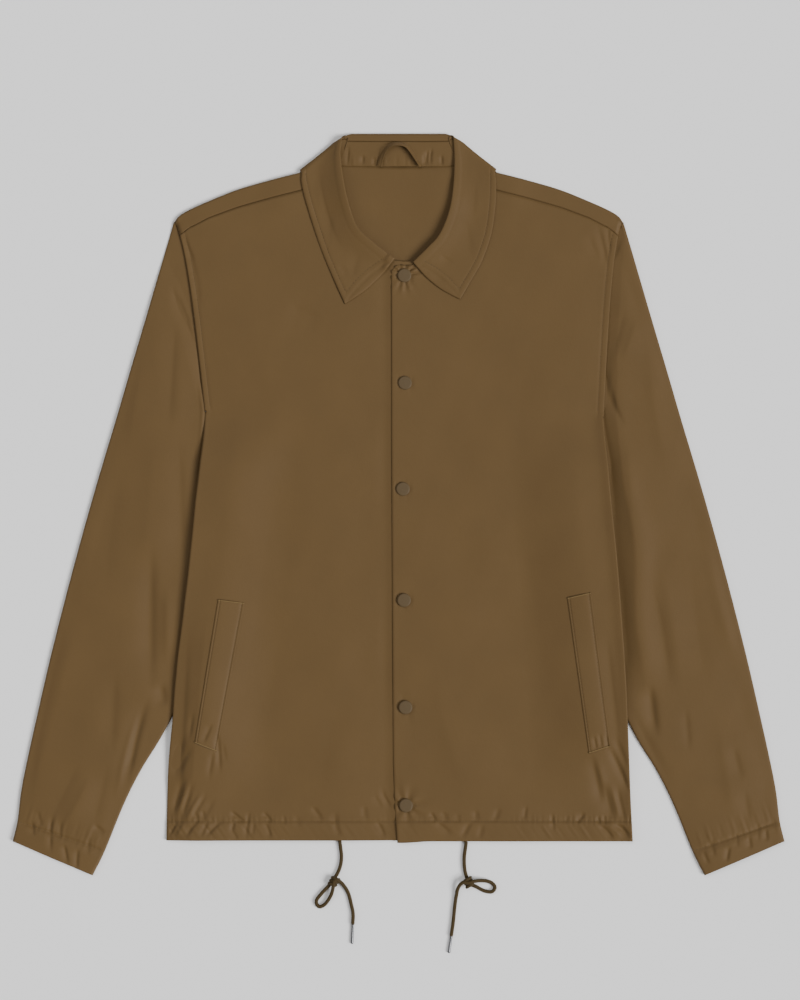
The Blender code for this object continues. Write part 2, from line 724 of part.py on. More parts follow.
def sleeve_point(side, at, t, inset):
    """Point in the plan on a sleeve section, from the outer fold at 0 to the inner fold at 1."""
    if at == 0.0:
        x, y = armhole(side, t)
        return x + SEAM_AT_ARMHOLE, y
    outer, inner = (fold_line(side, at, which, inset) for which in (0, 1))
    ex, ey, far = toward(outer, inner)
    fade = max(0.0, 1.0 - at / 2.0)
    along = (inset + far * t) / (far + 2.0 * inset)
    bow = armhole_bow(along) * fade
    x, y = mix(outer, inner, t)
    return x + ey * bow, y - ex * bow


def sleeve_height(side, at, t, x, y):
    swell = TUNNEL_SWELL * smooth((at - CUFF_STITCH) / 0.25)
    crown = (SLEEVE_LOFT - EDGE_LOFT) * 4.0 * t * (1.0 - t) * smooth(at / 1.2)
    reach = smooth((at - CUFF_STITCH + 0.75) / 0.7)
    nearest = min(abs(t - place) for place in CUFF_GATHERS)
    wave = math.cos(min(nearest / 0.075, 1.0) * math.pi)
    inner = smooth(4.0 * t) * smooth(4.0 * (1.0 - t))
    fold = creases(side * x, y) * inner * smooth(at)
    return EDGE_LOFT + crown + swell - fold - CUFF_GATHER_DEPTH * reach * wave


def sleeve_ring(side, at, spots, under_spots):
    """A sleeve section: outer fold, top, inner fold and underside, as (place, point) round it."""
    radius = 0.5 * (EDGE_LOFT + TUNNEL_SWELL * smooth((at - CUFF_STITCH) / 0.25))
    ring = []

    def fold(which, start, angles):
        x, y = fold_line(side, at, which, radius)
        nx, ny = fold_normal(side, at, which)
        tall = 0.5 * sleeve_height(side, at, float(which), x, y)
        for k, angle in enumerate(angles):
            out = radius * math.cos(math.radians(angle))
            high = tall * (1.0 + math.sin(math.radians(angle)))
            point = (side * (x + nx * out), y + ny * out, high)
            ring.append((start + k / (len(angles) - 1), point))

    fold(0, 0.0, (0.0, 45.0, 90.0))
    for t in spots:
        x, y = sleeve_point(side, at, t, radius)
        ring.append((1.0 + t, (side * x, y, sleeve_height(side, at, t, x, y))))
    fold(1, 2.0, (90.0, 45.0, 0.0, -45.0, -90.0))
    for t in reversed(under_spots):
        x, y = sleeve_point(side, at, t, radius)
        ring.append((4.0 - t, (side * x, y, 0.0)))
    fold(0, 4.0, (-90.0, -45.0, 0.0))
    return ring


def sleeve(name, side):
    fine = cuff_spots()
    rows = []
    for at in SLEEVE_RINGS:
        if at == 0.0:
            spots, under_spots = armhole_spots(side)
        else:
            spots = fine if at > CUFF_STITCH - 1.0 else SLEEVE_SPOTS
            under_spots = SLEEVE_UNDER_SPOTS
        rows.append(sleeve_ring(side, at, spots, under_spots))
    middle = sleeve_point(side, 6.0, 0.4, 2.0)
    up_at = (side * middle[0], middle[1], 20.0)

    def wall(point):
        outer, inner = sleeve_rung(side, CUFF_STITCH)
        ex, ey, _ = toward(outer, inner)
        below = (point.y - outer[1]) * ex - (abs(point.x) - outer[0]) * ey
        return WALL + (TUNNEL_WALL - WALL) * smooth(below / 4.0)

    return cloth(name, [rows], NYLON, up_at, wall)


def cuff_spots():
    """Places across the cuff at each gather and between them."""
    ends = (0.02,) + CUFF_GATHERS + (0.98,)
    between = [0.5 * (a + b) for a, b in zip(ends, ends[1:])]
    return sorted(list(CUFF_GATHERS) + between)


# Collar


def cover(x, y):
    """Height of the top cloth that the collar leaf lies on."""
    height = body_top(x, y, -1) if x < 14.0 else 0.0
    if x > -14.0:
        height = max(height, body_top(x, y, 1))
    return height


def collar_sections():
    """Sections round the neck from the wearer's right front end to the left one."""
    sections = []
    for table, mirrored in ((COLLAR_RIGHT, False), (COLLAR_LEFT, True)):
        rows = table + (COLLAR_MIDDLE,)
        made = []
        for i in range(len(rows) - 1):
            parts = 1 if 5 < i < 10 else 2
            made += [(i + k / parts, through(rows, i + k / parts)) for k in range(parts)]
        made.append((len(rows) - 1.0, COLLAR_MIDDLE))
        sections += [(at, row) for at, row in (reversed(made[:-1]) if mirrored else made)]
    return sections


def leaf_section(at, row):
    """Points of the collar leaf from its seam over the roll to its free edge."""
    roll, free, rise = row[0:2], row[2:4], row[4]
    turn = min(1.0, max(0.0, row[5]))
    ex, ey, wide = toward(roll, free)
    ground = LEAF_CLEAR + WALL
    top = cover(*mix(roll, free, 0.1)) + ground + rise
    side = -1 if free[0] < roll[0] else 1
    sx, sy, _ = toward(roll, row[6:8])
    swing = side * CORNER_SWING * 4.0 * turn * (1.0 - turn)
    spread = CORNER_SPREAD * 4.0 * turn * (1.0 - turn)
    sx, sy = mix((ex, ey), (sx, sy), turn)
    sx, sy, _ = toward((0.0, 0.0), (sx + swing * ey, sy - swing * ex))
    deep = ROLL_DEPTH + CORNER_DEPTH * smooth(at - 5.0)
    spots = [
        (over, top - drop * deep - dip * rise, None, under, low, apart)
        for over, drop, dip, under, low, apart in LEAF_ROLL
    ]
    spots += [(over, None, lift, under, 0.0, apart) for over, lift, under, apart in LEAF_NEAR]
    spots += [(share * wide, None, 0.0, share * wide, 0.0, 0.0) for share in LEAF_FAR_SHARES]
    points = []
    for k, (over, high, lift, under, low, apart) in enumerate(spots):
        d = over + (under - over) * turn
        bow = LEAF_TIP_BOW * max(0.0, 1.0 - at) * math.sin(math.pi * min(1.0, d / wide))
        bow -= spread * apart
        ux, uy = (sx, sy) if k < LEAF_STRIP_POINTS else (ex, ey)
        x = roll[0] + ux * d + side * ey * bow
        y = roll[1] + uy * d - side * ex * bow
        if high is None:
            high = cover(x, y) + ground + lift * rise
        points.append((float(k), (x, y, high + (low - high) * turn)))
    return points


def stand_section(at, row):
    """Points of the collar stand from its seam with the leaf down to the neck seam."""
    leaf = leaf_section(at, row)
    (_, seam), (_, beside) = leaf[0], leaf[1]
    turn, neck = min(1.0, max(0.0, row[5])), row[6:8]
    nx, ny, _ = toward(neck, row[0:2])
    neck = neck[0] + nx * NECK_SET_IN * (1.0 - turn), neck[1] + ny * NECK_SET_IN * (1.0 - turn)
    gap = Vector(seam) - Vector(beside)
    start = Vector(seam) + gap.normalized() * SEAM
    front = -1 if neck[0] < 0 else 1
    over = body_top(neck[0], neck[1], front) - WALL
    under = base(*neck) + WALL
    end = Vector((neck[0], neck[1], over + (under - over) * turn))
    points = []
    for k in range(3):
        points.append((float(k), tuple(start.lerp(end, k / 2.0))))
    return points


def collar():
    sections = collar_sections()
    leaf = [leaf_section(at, row) for at, row in sections]
    stand = [stand_section(at, row) for at, row in sections]
    cloth("collar_leaf", [leaf], NYLON, (-75.0, 280.0, 12.0))
    cloth("collar_stand", [stand], NYLON_DARK, (0.0, 360.0, 8.0))


def hanger_loop():
    """A narrow tape in an arch over the stand, its ends at the neck seam."""
    rows = []
    steps = 14
    for k in range(steps + 1):
        turn = math.pi * k / steps
        out = LOOP_HALF_SPAN * math.cos(turn)
        up = LOOP_RISE * math.sin(turn) ** 0.8
        nx, ny, _ = toward((0.0, 0.0), (math.cos(turn) / LOOP_HALF_SPAN, math.sin(turn) / LOOP_RISE))
        row = []
        for j in range(3):
            across = LOOP_WIDTH * (0.5 - j / 2.0)
            x = LOOP_CENTRE + out + nx * across
            y = BACK_NECK + 1.6 + up + ny * across
            ride = (STAND_TOP - COLLAR_LIFT - WALL) / 26.0 * (y - BACK_NECK)
            z = COLLAR_LIFT + WALL + max(0.0, ride) + CLEAR + LOOP_WALL + 2.2 * math.sin(turn)
            row.append((float(j), (x, y, z)))
        rows.append(row)
    return cloth("hanger_loop", [rows], NYLON_DARK, (0.0, 370.0, 12.0), wall=LOOP_WALL)


# Pockets, snaps and cords


def pocket_welt(name, front, corners):
    """A welt on the front, made from the front's own height."""
    inner_top, inner_low, outer_low, outer_top = corners
    rows = []
    for k in range(13):
        a = mix(inner_top, inner_low, k / 12.0)
        b = mix(outer_top, outer_low, k / 12.0)
        row = []
        for j in range(5):
            x, y = mix(a, b, j / 4.0)
            z = body_top(x, y, front) + CLEAR + WALL + WELT_CROWN * math.sin(math.pi * j / 4.0)
            row.append((float(j), (x, y, z)))
        rows.append(row)
    return cloth(name, [rows], NYLON, (*mix(inner_top, outer_low, 0.5), 15.0))


def snap_cap(name, x, y):
    bm = bmesh.new()
    bmesh.ops.create_cone(
        bm, cap_ends=True, segments=20, radius1=SNAP_RADIUS * MM, radius2=SNAP_RADIUS * MM,
        depth=SNAP_HEIGHT * MM,
    )
    rim = [e for e in bm.edges if all(v.co.z > 0 for v in e.verts)]
    bmesh.ops.bevel(
        bm, geom=rim, offset=SNAP_ROUND * MM, segments=2, profile=0.5, affect="EDGES",
    )
    bottom = body_top(x, y, 1) + SEAM
    bmesh.ops.translate(bm, verts=bm.verts, vec=Vector((x, y, bottom + 0.5 * SNAP_HEIGHT)) * MM)
    mesh = bpy.data.meshes.new(name)
    bm.to_mesh(mesh)
    bm.free()
    mesh.shade_smooth()
    return place(name, mesh, SNAP_METAL)


def drawcord(name, route):
    curve = bpy.data.curves.new(name, "CURVE")
    curve.dimensions = "3D"
    curve.bevel_depth = CORD_RADIUS * MM
    curve.bevel_resolution = 2
    curve.use_fill_caps = True
    spans = len(route) - 1
    count = spans * CORD_STEPS + 1
    spline = curve.splines.new("POLY")
    spline.points.add(count - 1)
    for k in range(count):
        point = through(route, k / CORD_STEPS)
        spline.points[k].co = (*(Vector(point) * MM), 1.0)
    return place(name, curve, CORD)


def aglet(name, route, length):
    """A metal tip in line with the end of its cord."""
    before, end = Vector(route[-2]), Vector(route[-1])
    along = (end - before)
    along.z = 0.0
    along.normalize()
    start = Vector((end.x, end.y, AGLET_RADIUS)) + along * SEAM
    bm = bmesh.new()
    bmesh.ops.create_cone(
        bm, cap_ends=True, segments=12, radius1=AGLET_RADIUS * MM, radius2=AGLET_RADIUS * MM,
        depth=length * MM,
    )
    turn = Vector((0.0, 0.0, 1.0)).rotation_difference(along).to_matrix().to_4x4()
    bmesh.ops.transform(bm, matrix=turn, verts=bm.verts)
    bmesh.ops.translate(bm, verts=bm.verts, vec=(start + along * 0.5 * length) * MM)
    mesh = bpy.data.meshes.new(name)
    bm.to_mesh(mesh)
    bm.free()
    mesh.shade_smooth()
    return place(name, mesh, AGLET_METAL)


def build():
    for obj in list(bpy.data.objects):
        bpy.data.objects.remove(obj, do_unlink=True)
    back_panel()
    front_panel("front_right", -1)
    front_panel("front_left", 1)
    sleeve("sleeve_right", -1)
    sleeve("sleeve_left", 1)
    collar()
    hanger_loop()
    pocket_welt("pocket_welt_right", -1, WELT_RIGHT)
    pocket_welt("pocket_welt_left", 1, WELT_LEFT)
    for number, (x, y) in enumerate(SNAPS, 1):
        snap_cap(f"snap_{number}", x, y)
    drawcord("drawcord_right", CORD_RIGHT)
    drawcord("drawcord_left", CORD_LEFT)
    aglet("aglet_right", CORD_RIGHT, AGLET_RIGHT_LENGTH)
    aglet("aglet_left", CORD_LEFT, AGLET_LEFT_LENGTH)


build()
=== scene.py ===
"""Coach jacket laid flat: cloth shells, cords, snaps, stitching, stage and camera.

Lengths in this file are millimetres. Sides are the wearer's: the wearer's left is at +X, the
collar at +Y and the front faces +Z. A shape is worked out as whole numpy arrays on a grid of two
parameters, one along the piece and one across it.
"""
import math

import bmesh
import bpy
import numpy as np
from bpy.props import FloatProperty, FloatVectorProperty, IntProperty, PointerProperty
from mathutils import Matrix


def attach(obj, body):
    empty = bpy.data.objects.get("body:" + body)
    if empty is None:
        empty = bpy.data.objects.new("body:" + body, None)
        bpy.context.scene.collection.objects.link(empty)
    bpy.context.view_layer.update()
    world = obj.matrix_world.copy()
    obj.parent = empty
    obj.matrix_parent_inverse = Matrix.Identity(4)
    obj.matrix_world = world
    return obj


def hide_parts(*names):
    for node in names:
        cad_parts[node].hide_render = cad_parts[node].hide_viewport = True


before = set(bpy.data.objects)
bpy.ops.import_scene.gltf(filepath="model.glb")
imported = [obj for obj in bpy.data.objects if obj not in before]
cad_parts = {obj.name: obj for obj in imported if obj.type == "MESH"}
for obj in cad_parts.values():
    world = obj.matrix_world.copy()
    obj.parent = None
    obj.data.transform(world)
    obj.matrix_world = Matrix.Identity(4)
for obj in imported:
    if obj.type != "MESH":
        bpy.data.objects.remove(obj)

bl_info = {
    "name": "Coach jacket dresser",
    "version": (1, 0, 0),
    "blender": (4, 5, 0),
    "location": "3D View > Sidebar > Jacket",
    "description": "Dresses a coach jacket laid flat with cloth shells, cords, snaps and stitching",
    "category": "Add Mesh",
}

MM = 0.001

# Cloth
EDGE_LOFT = 4.0
PANEL_LOFT = 4.6
UNDERLAP_LOFT = 3.4
OVERLAP_LOFT = 4.7
SLEEVE_LOFT = 5.8
TUNNEL_SWELL = 1.2
BODY_LIFT = 6.3
COLLAR_LIFT = 1.6
NECK_DROP = 1.9
SEAM_GAP = 0.3

# Levels along the body
HEM_RIGHT = -345.6
HEM_LEFT = -346.4
TUNNEL_HEIGHT = 20.0
HEM_STITCH = HEM_RIGHT + TUNNEL_HEIGHT
UNDERARM = {-1: (199.4, 95.3), 1: (210.8, 90.1)}
SHOULDER_TIP = (231.0, 290.5)
ARMHOLE_BOW = 5.4
ARMHOLE_EASE = 0.55
SHOULDER_SEAM_AT = 0.07
SIDE_SEAM_TURN = 15.0
UNDERLAP_EDGE = 20.0
BACK_NECK = 347.2
NECK_SHARE = 0.26
TIP_TURN = (0.7071, 0.7071)

# Half width of the body at its side folds: up, wearer's right, wearer's left
SIDES = (
    (-350, 239.2, 241.2), (-304.4, 238.3, 238.9), (-263.2, 236.5, 237.1), (-220.9, 232.4, 235.3),
    (-174.6, 228.8, 233.2), (-98.4, 220.2, 228), (-46.9, 214.2, 223.7), (4.6, 209.1, 218.5),
    (40.7, 204.6, 215.2), (76.7, 200.6, 211.6), (97, 199.4, 210.8),
)

# Fold over the shoulder and the seam in front of it: out from the middle, up
SHOULDER = (
    (64.5, 352), (100, 342), (134, 333.3), (166, 324), (196, 312), (215, 303.5), (226, 297),
    (231, 290.5),
)
SHOULDER_SEAM = ((62.4, 334), (98.9, 324.2), (134, 315.2), (167.5, 305.6), (196, 295), (216, 284.8))

# Sleeve sections: outer fold out and up, inner fold out and up, extra on the wearer's left
SLEEVE = (
    (231, 290.5, 199.4, 95.3, 11.4), (245.8, 241.5, 201.2, 82.9, 12),
    (260.2, 192.1, 203.2, 66.4, 12), (276.7, 136.5, 204.8, 45.8, 11.5),
    (291.1, 87, 199.4, 19.1, 10), (309.6, 25.2, 193.2, -20.1, 8), (327.1, -36.6, 192.2, -74.7, 7),
    (343.6, -98.4, 199.4, -133.4, 5), (359.1, -160.2, 218, -187, 2),
    (371.4, -213.7, 242.7, -236.4, 0), (381.7, -260.1, 265.3, -273.5, 0),
    (388.4, -294.1, 282.8, -308.5, 0), (392.3, -325.5, 302.4, -356.5, 0),
    (397.2, -346.6, 314.8, -381.6, 0),
)
CUFF_STITCH = 12.0
CUFF_END = 13.0
SEAM_AT_ARMHOLE = 0.45
SLEEVE_TUCK = 1.9
SLEEVE_LEAST = 1.7

# Rows of the fronts' mesh beside the neck, and columns of the back's beside the middle
NECK_ROWS = 42
NECK_COLUMNS = 22
SHOULDER_COLUMNS = 44

# Topstitching: how far in from an edge it runs, and how far the thread lies above the cloth
STITCH_INSET = 6.2
STITCH_PROUD = 0.06

# Welts as drawn: length, width and wall, how far in from each edge the groove of the stitches
# runs, and how far the stitches themselves are from the inner edge
WELT_LONG = 157.0
WELT_WIDE = 25.0
WELT_WALL = 0.7
WELT_INSET = 2.2
WELT_STITCHES = {"inner": 2.2, "outer": 22.4}

# The way creases lean, and the reach of their two walls in half widths
LEAN_X = 0.94
LEAN_Y = -0.34
STEEP_WALL = 0.75
LONG_WALL = 2.1

# Front neckline from the placket to the shoulder seam: out, up
NECK = {
    -1: (
        (-UNDERLAP_EDGE, 250), (0, 250.5), (21.2, 255), (37.7, 266), (51, 284.8), (58.3, 308.5),
        (62.4, 334),
    ),
    1: (
        (-7.6, 240), (-1, 246), (15.5, 246.5), (33, 254.5), (46, 268), (54.5, 284.8), (60, 308.5),
        (62.4, 334),
    ),
}
NECK_BASE_AT = 0.48

# Placket edge of the top front: up, x
PLACKET = ((-350, -1), (-312, -3.9), (-263, -5.6), (-60, -6.8), (210, -7.8), (240, -7.6))

# Collar sections: roll x and y, free edge x and y, roll height, turn under, neck seam x and y
COLLAR_RIGHT = (
    (-3.9, 253, -55.4, 206.1, 1.8, 0, -8, 253.9), (-27.6, 271, -67.5, 233, 4.4, 0, -32.3, 263),
    (-41.8, 284.5, -79.6, 262.1, 5.4, 0, -46.8, 279.8),
    (-49.8, 304.4, -90.6, 295.1, 5.8, 0, -55.6, 302.5),
    (-55.5, 328, -97.5, 319, 6.4, 0, -60.4, 325), (-59.6, 357, -100.2, 332.5, 4.6, 0, -63, 345),
    (-58.6, 373, -100, 340, 2.8, 0, -63.4, 350), (-56.4, 379.4, -101, 343, 2.2, 0.18, -63.6, 351.6),
    (-54.6, 381.2, -101.6, 344.6, 2, 0.5, -63.4, 352),
    (-52, 381.6, -101, 343.6, 2, 0.88, -61.6, 351), (-48, 381.6, -97, 339.5, 2, 1, -57, 348.2),
    (-26, 381.6, -50, 328, 2, 1, -28, 347.8),
)
COLLAR_LEFT = (
    (14.6, 249.4, 63.4, 210.9, 1.2, 0, 17.2, 248.9), (30, 264.5, 73.5, 228.5, 2.4, 0, 34.6, 257),
    (41.6, 277.5, 86, 251, 3, 0, 47, 270.8), (50.6, 298.2, 95.5, 279, 3.8, 0, 56.4, 296),
    (55.2, 320.3, 99.6, 308, 3.2, 0, 60.2, 317.5), (57.2, 349, 100.2, 331, 0.9, 0, 63, 344),
    (56.4, 372.5, 99.2, 340.5, 0.9, 0, 63.4, 350),
    (55.4, 379.6, 100.2, 343.8, 1.4, 0.18, 63.6, 351.6),
    (54, 381.4, 100.4, 345.4, 2, 0.5, 63.4, 352), (51.6, 381.6, 99.8, 344.4, 2, 0.88, 61.6, 351),
    (48, 381.6, 95.5, 340, 2, 1, 57, 348.2), (26, 381.6, 50, 328, 2, 1, 28, 347.8),
)
COLLAR_MIDDLE = (0.0, 381.6, 0.0, 323.5, 2.0, 1.0, 0.0, 347.8)
LEAF_TIP_BOW = 4.5
STAND_TOP = 4.3
SEAM_BELOW_ROLL = 8.0
LEAF_CLEAR = 0.5
NECK_SET_IN = 0.8
ROLL_DEPTH = 3.0
CORNER_DEPTH = 0.4
CORNER_SWING = 1.0
CORNER_SPREAD = 2.4
COLLAR_WALL = 1.0

# Highest line of the collar's outline, and how far out its corner begins to fall
COLLAR_TOP = 382.0
COLLAR_CORNER = 46.0

# Hanger loop: x, y, rise above the stand, share of its width that lies flat
LOOP = (
    (-19.8, 347.8, 0, 0.95), (-17.6, 356.4, 0.7, 0.85), (-13.4, 365.2, 1, 0.72),
    (-6.5, 370, 1.2, 0.7), (1.5, 370.4, 1.2, 0.7), (8.4, 368, 1.2, 0.68), (13.6, 361.4, 1, 0.55),
    (18.8, 353.6, 0.5, 0.52), (23.2, 347.8, 0, 0.7),
)
LOOP_WIDTH = 5.5

# Pocket welts: corners x and y, from the upper inner one round to the upper outer one
WELTS = {
    -1: ((-158.2, -100.1), (-187, -254.5), (-209.4, -245.2), (-185.4, -96.8)),
    1: ((173, -94.9), (195.4, -256.5), (217.7, -249.3), (197.3, -89.3)),
}

# Snap caps: x, y from the neck down
SNAPS = ((6.0, 235.6), (6.6, 125.1), (4.5, 16.0), (5.6, -98.4), (7.1, -208.6), (7.6, -309.5))
SNAP_RADIUS = 7.5

# Creases round a snap: which one, spokes, start in radians, height, reach
SNAP_CREASES = ((0, 11, 0.4, 1.2, 7), (-1, 7, 1.4, 0.6, 13), (4, 4, 2.2, 0.16, 9), (1, 4, 0.2, 0.16, 9))

# Profile of a snap cap from the middle of its underside over the rim: radius, height
SNAP_PROFILE = (
    (0, 0.15), (5.6, 0), (6.5, 0.1), (6.95, 0.4), (7.1, 0.8), (6.95, 1.25), (6.6, 1.6), (6.1, 1.8),
    (5.4, 1.88), (4.4, 1.9), (3, 1.92), (1.5, 1.94), (0, 1.95),
)

# Drawcord ends: x, y, height of the cord's middle above the surface
CORDS = {
    "right": (
        (-60.6, -346.1, 2), (-59.6, -354, 2), (-58.8, -361.5, 2), (-59.5, -370, 2),
        (-62.4, -378.6, 2), (-66.6, -385.4, 2), (-70.6, -391, 2), (-78.6, -399.6, 2),
        (-84.6, -408, 2), (-81.8, -414, 2), (-75.2, -410.8, 2.2), (-69.4, -401.6, 3.6),
        (-67.2, -393, 6.2), (-66.2, -387.2, 6.9), (-62.6, -386.2, 6.6), (-56.8, -391.4, 4.2),
        (-51.8, -400, 2.2), (-48.4, -412.8, 2), (-46.8, -422, 2), (-47.2, -431.9, 2),
    ),
    "left": (
        (69.6, -346.95, 2), (68.6, -355, 2), (67.6, -363, 2), (67.8, -373, 2), (69.4, -381.4, 2),
        (72.9, -389.8, 2), (80, -393.4, 2), (88, -397.6, 2), (95.8, -398.6, 2), (99.2, -393.8, 2),
        (94.8, -388.8, 2.2), (86.4, -387, 3.6), (78.4, -387.2, 6.2), (72.2, -388.8, 6.9),
        (66, -388.6, 6.6), (61.4, -394.2, 4.2), (59.2, -404, 2.2), (57.6, -416, 2), (56.2, -430, 2),
        (54.2, -444, 2),
    ),
}
AGLETS = {"right": 20.0, "left": 17.5}
AGLET_RADIUS = 1.45

# Creases of the body: x and y of each end, half width, height, bend to the side
BODY_CREASES = (
    (-216.9, -139.6, -227.5, -338, 4.5, -0.9, 0), (-221, -240, -230.5, -280, 4, -1.3, 1),
    (-212.8, -250.9, -226.2, -276.5, 2.4, -1.1, 1), (-214.9, -284.8, -228.2, -321.8, 2, 1.2, 0.8),
    (-219.6, -283, -232, -318, 1.9, -1.1, 0.8), (-210.2, -286, -222.6, -323, 1.9, -1.1, 0.8),
    (-202.5, -297, -219, -325.9, 1.9, 0.9, 0.8), (-197.6, -299, -212.6, -325, 1.8, -0.8, 0.8),
    (-190, -304, -200, -323, 2.2, -0.5, 0), (-210.7, -214.8, -214.9, -240.4, 1.5, -0.8, 0),
    (-192.2, -226.1, -200.4, -244.6, 2, -0.8, 0), (-186, -236.4, -183.6, -273.4, 1.6, -1, -0.8),
    (-190.1, -255, -194.8, -279.6, 1.4, -0.8, 0), (-181, -246, -177, -262, 1.6, -0.5, 0),
    (-17.6, -294.1, -8.4, -311.5, 1.4, -0.8, 0), (-25, -299, -17, -312, 1.8, -0.4, 0),
    (214, -140, 226, -245, 4, -0.6, 0), (216.7, -249.9, 237.5, -297, 2, -1.5, -1.4),
    (223, -240, 236, -270, 2.4, -0.9, 0), (198.2, -260, 207.8, -306, 3, -0.9, -1),
    (203.2, -262, 213.5, -306, 2.6, 0.7, -1), (209.6, -286, 220.2, -325.9, 3.8, -1.2, -1),
    (217, -288, 227, -325, 2.4, 0.8, -0.6), (225, -292, 233, -326, 2.2, -0.8, 0),
    (201, -238, 203.4, -252, 1.3, -0.7, 0), (207, -236, 209, -250, 1.3, -0.6, 0),
    (213, -236.5, 215.6, -250, 1.2, -0.5, 0), (-112, 205, -80, 193, 7, -0.5, 2),
    (205.4, 285, 214.4, 245, 2.2, -0.7, -1), (215.6, 289, 217.6, 258, 1.5, -0.6, 0),
    (196, 276, 206, 252, 3, -0.4, 0), (-221, 276, -212, 252, 2.2, -0.6, 0),
    (-214, 262, -208, 232, 2.6, -0.5, 0), (-208, 240, -204.6, 205, 2.4, -0.4, 0),
    (-118, 40, -150, -160, 26, -0.55, 6), (120, -20, 146, -200, 24, -0.55, -6),
    (-70, 130, -88, -40, 30, 0.5, 8), (66, 110, 92, -90, 28, 0.5, -8),
    (-150, 180, -120, 60, 24, 0.45, -5), (140, 170, 120, 40, 24, -0.4, 5),
    (40, -180, 70, -290, 14, 0.5, 4), (-60, -200, -80, -300, 18, -0.4, 4),
)

# Short creases that the drawn hem makes, in the same columns
HEM_CREASES = (
    (-207.6, -317.8, -205.6, -327, 1.3, -0.9, 0), (-200.8, -314.7, -199.2, -326, 1.3, -0.7, 0),
    (-206.6, -326, -217.9, -341, 1.6, -1, 0.8), (-196, -326, -203, -341, 1.4, -0.8, 0),
    (-181.9, -326, -197.3, -341, 1.6, -1, 0.8), (-171.6, -315.8, -158.2, -326, 1.5, -1.1, 0.6),
    (-168.5, -326, -171.6, -336.3, 1.4, -0.9, 0), (-172, -333, -165, -344.5, 1.3, -0.8, 0),
    (-153.1, -316.8, -156.1, -343.5, 1.4, -0.8, 0.8), (-148, -326, -150, -340, 1.2, -0.5, 0),
    (-138.6, -316.8, -130.4, -326, 1.4, -0.9, 0), (-137.6, -327, -131.8, -342.4, 1.5, -0.9, -1.2),
    (-117.5, -320, -116.5, -329, 1.2, -0.5, 0), (-103.6, -319.9, -102.6, -331, 1.2, -0.6, 0),
    (-88.1, -310.6, -77.9, -325, 1.4, -1, 0), (-64.9, -316.8, -61, -341.4, 1.4, -0.9, 0.6),
    (-68, -320, -66.8, -329, 1.2, -0.5, 0), (-34.8, -310.6, -33.4, -325, 1.3, -0.7, 0),
    (-22.2, -326, -14.4, -342.4, 1.6, -0.8, -1), (33.4, -316.8, 39, -326, 1.4, -0.9, 0),
    (46, -315.8, 50.4, -326, 1.4, -0.8, 0), (38.5, -326, 53.9, -339.4, 1.6, -0.9, -0.8),
    (60.8, -318, 61.6, -327, 1.2, -0.5, 0), (74.5, -327, 66.4, -342.4, 1.5, -0.9, 0.6),
    (79.4, -314.7, 81.2, -326, 1.3, -0.8, 0), (86.6, -330, 83.8, -343.4, 1.3, -0.7, 0),
    (103.4, -312.7, 98.7, -326, 1.4, -0.8, -0.6), (131.6, -310.6, 129.4, -324.9, 1.3, -0.6, 0),
    (158.6, -318.8, 159.8, -335.2, 1.3, -0.7, 0), (191.4, -317.8, 183.8, -328, 1.5, -0.9, 0),
    (174, -320, 172, -328, 1.2, -0.4, 0), (205.4, -321, 207.4, -329, 1.2, -0.9, 0),
    (212, -320, 213.4, -329, 1.2, -0.8, 0), (206.4, -329, 220.8, -344.5, 1.7, -1, -1),
    (213.6, -328, 227.6, -343.5, 1.5, 0.6, -0.8), (221.9, -327, 237, -343.5, 1.6, -1, -1),
    (228, -329, 239, -341, 1.2, -0.7, 0), (-228, -327, -236, -341, 1.5, -0.8, 0),
    (-220, -327, -229, -342, 1.4, 0.5, 0),
)

# Creases of the sleeves, in the same columns
SLEEVE_CREASES = (
    (-254.5, -50, -255, -186, 6.5, -1.9, 0), (-238, -88, -238.5, -160, 6, 1.1, 0),
    (-244.7, -186, -239.6, -206.5, 4, -1.6, 0), (-259.8, -204.7, -278.7, -290, 4.2, -2.2, 2),
    (-268, -214, -289, -296, 4, 0.9, 2), (-292, -175, -295.2, -252, 6.5, -0.9, 0),
    (-339.5, -130, -374.5, -300, 8, 0.9, 4), (-317, -282, -343.6, -334, 8, 1, 0),
    (-330, -268, -357, -322, 7, -0.7, 0), (-300, -270, -314, -330, 6, -0.6, 0),
    (-232.3, 221.9, -213.9, 186, 2.6, -0.9, 2), (-226, 214, -210, 168, 2.4, -0.7, 1.5),
    (-230.3, 184, -236.4, 80, 6, -0.8, 0), (-262, 170, -276, 60, 9, 0.6, 0),
    (-250, 60, -262, -60, 12, 0.5, 0), (-285, 40, -302, -90, 11, -0.5, 3),
    (-226, 60, -222, -60, 6, -0.7, 0), (259, -188, 264.5, -236, 4.4, -2, 0),
    (240.5, -215, 273, -284, 6, -1.4, 0), (262, -86, 278.5, -186, 5.5, -0.8, -2),
    (270, -60, 290, -190, 8, 0.5, -2), (296, -212, 299, -252, 2.4, -0.6, 0),
    (344.5, -250, 352.6, -282.6, 4.2, -0.7, 0), (356, -296, 361, -326, 3.5, -0.5, 0),
    (320.7, -43, 348.5, -155.7, 10, 0.9, 3), (300, -60, 318, -190, 12, -0.5, 3),
    (232, 199, 221, 156, 6, -0.9, 0), (245, 190, 232, 150, 5, 0.5, 0),
    (214.5, 138, 224, 92, 5, -1.1, 3), (219, 118, 231, 84, 2.2, -0.7, 2),
    (233, 284.7, 222, 253, 2, -0.7, 0), (258, 160, 276, 40, 10, 0.6, 3),
    (236, 60, 244, -70, 8, 0.6, 0), (330, -230, 345, -320, 9, 0.6, 0),
    (374, -220, 386, -310, 6, -0.5, 0),
)

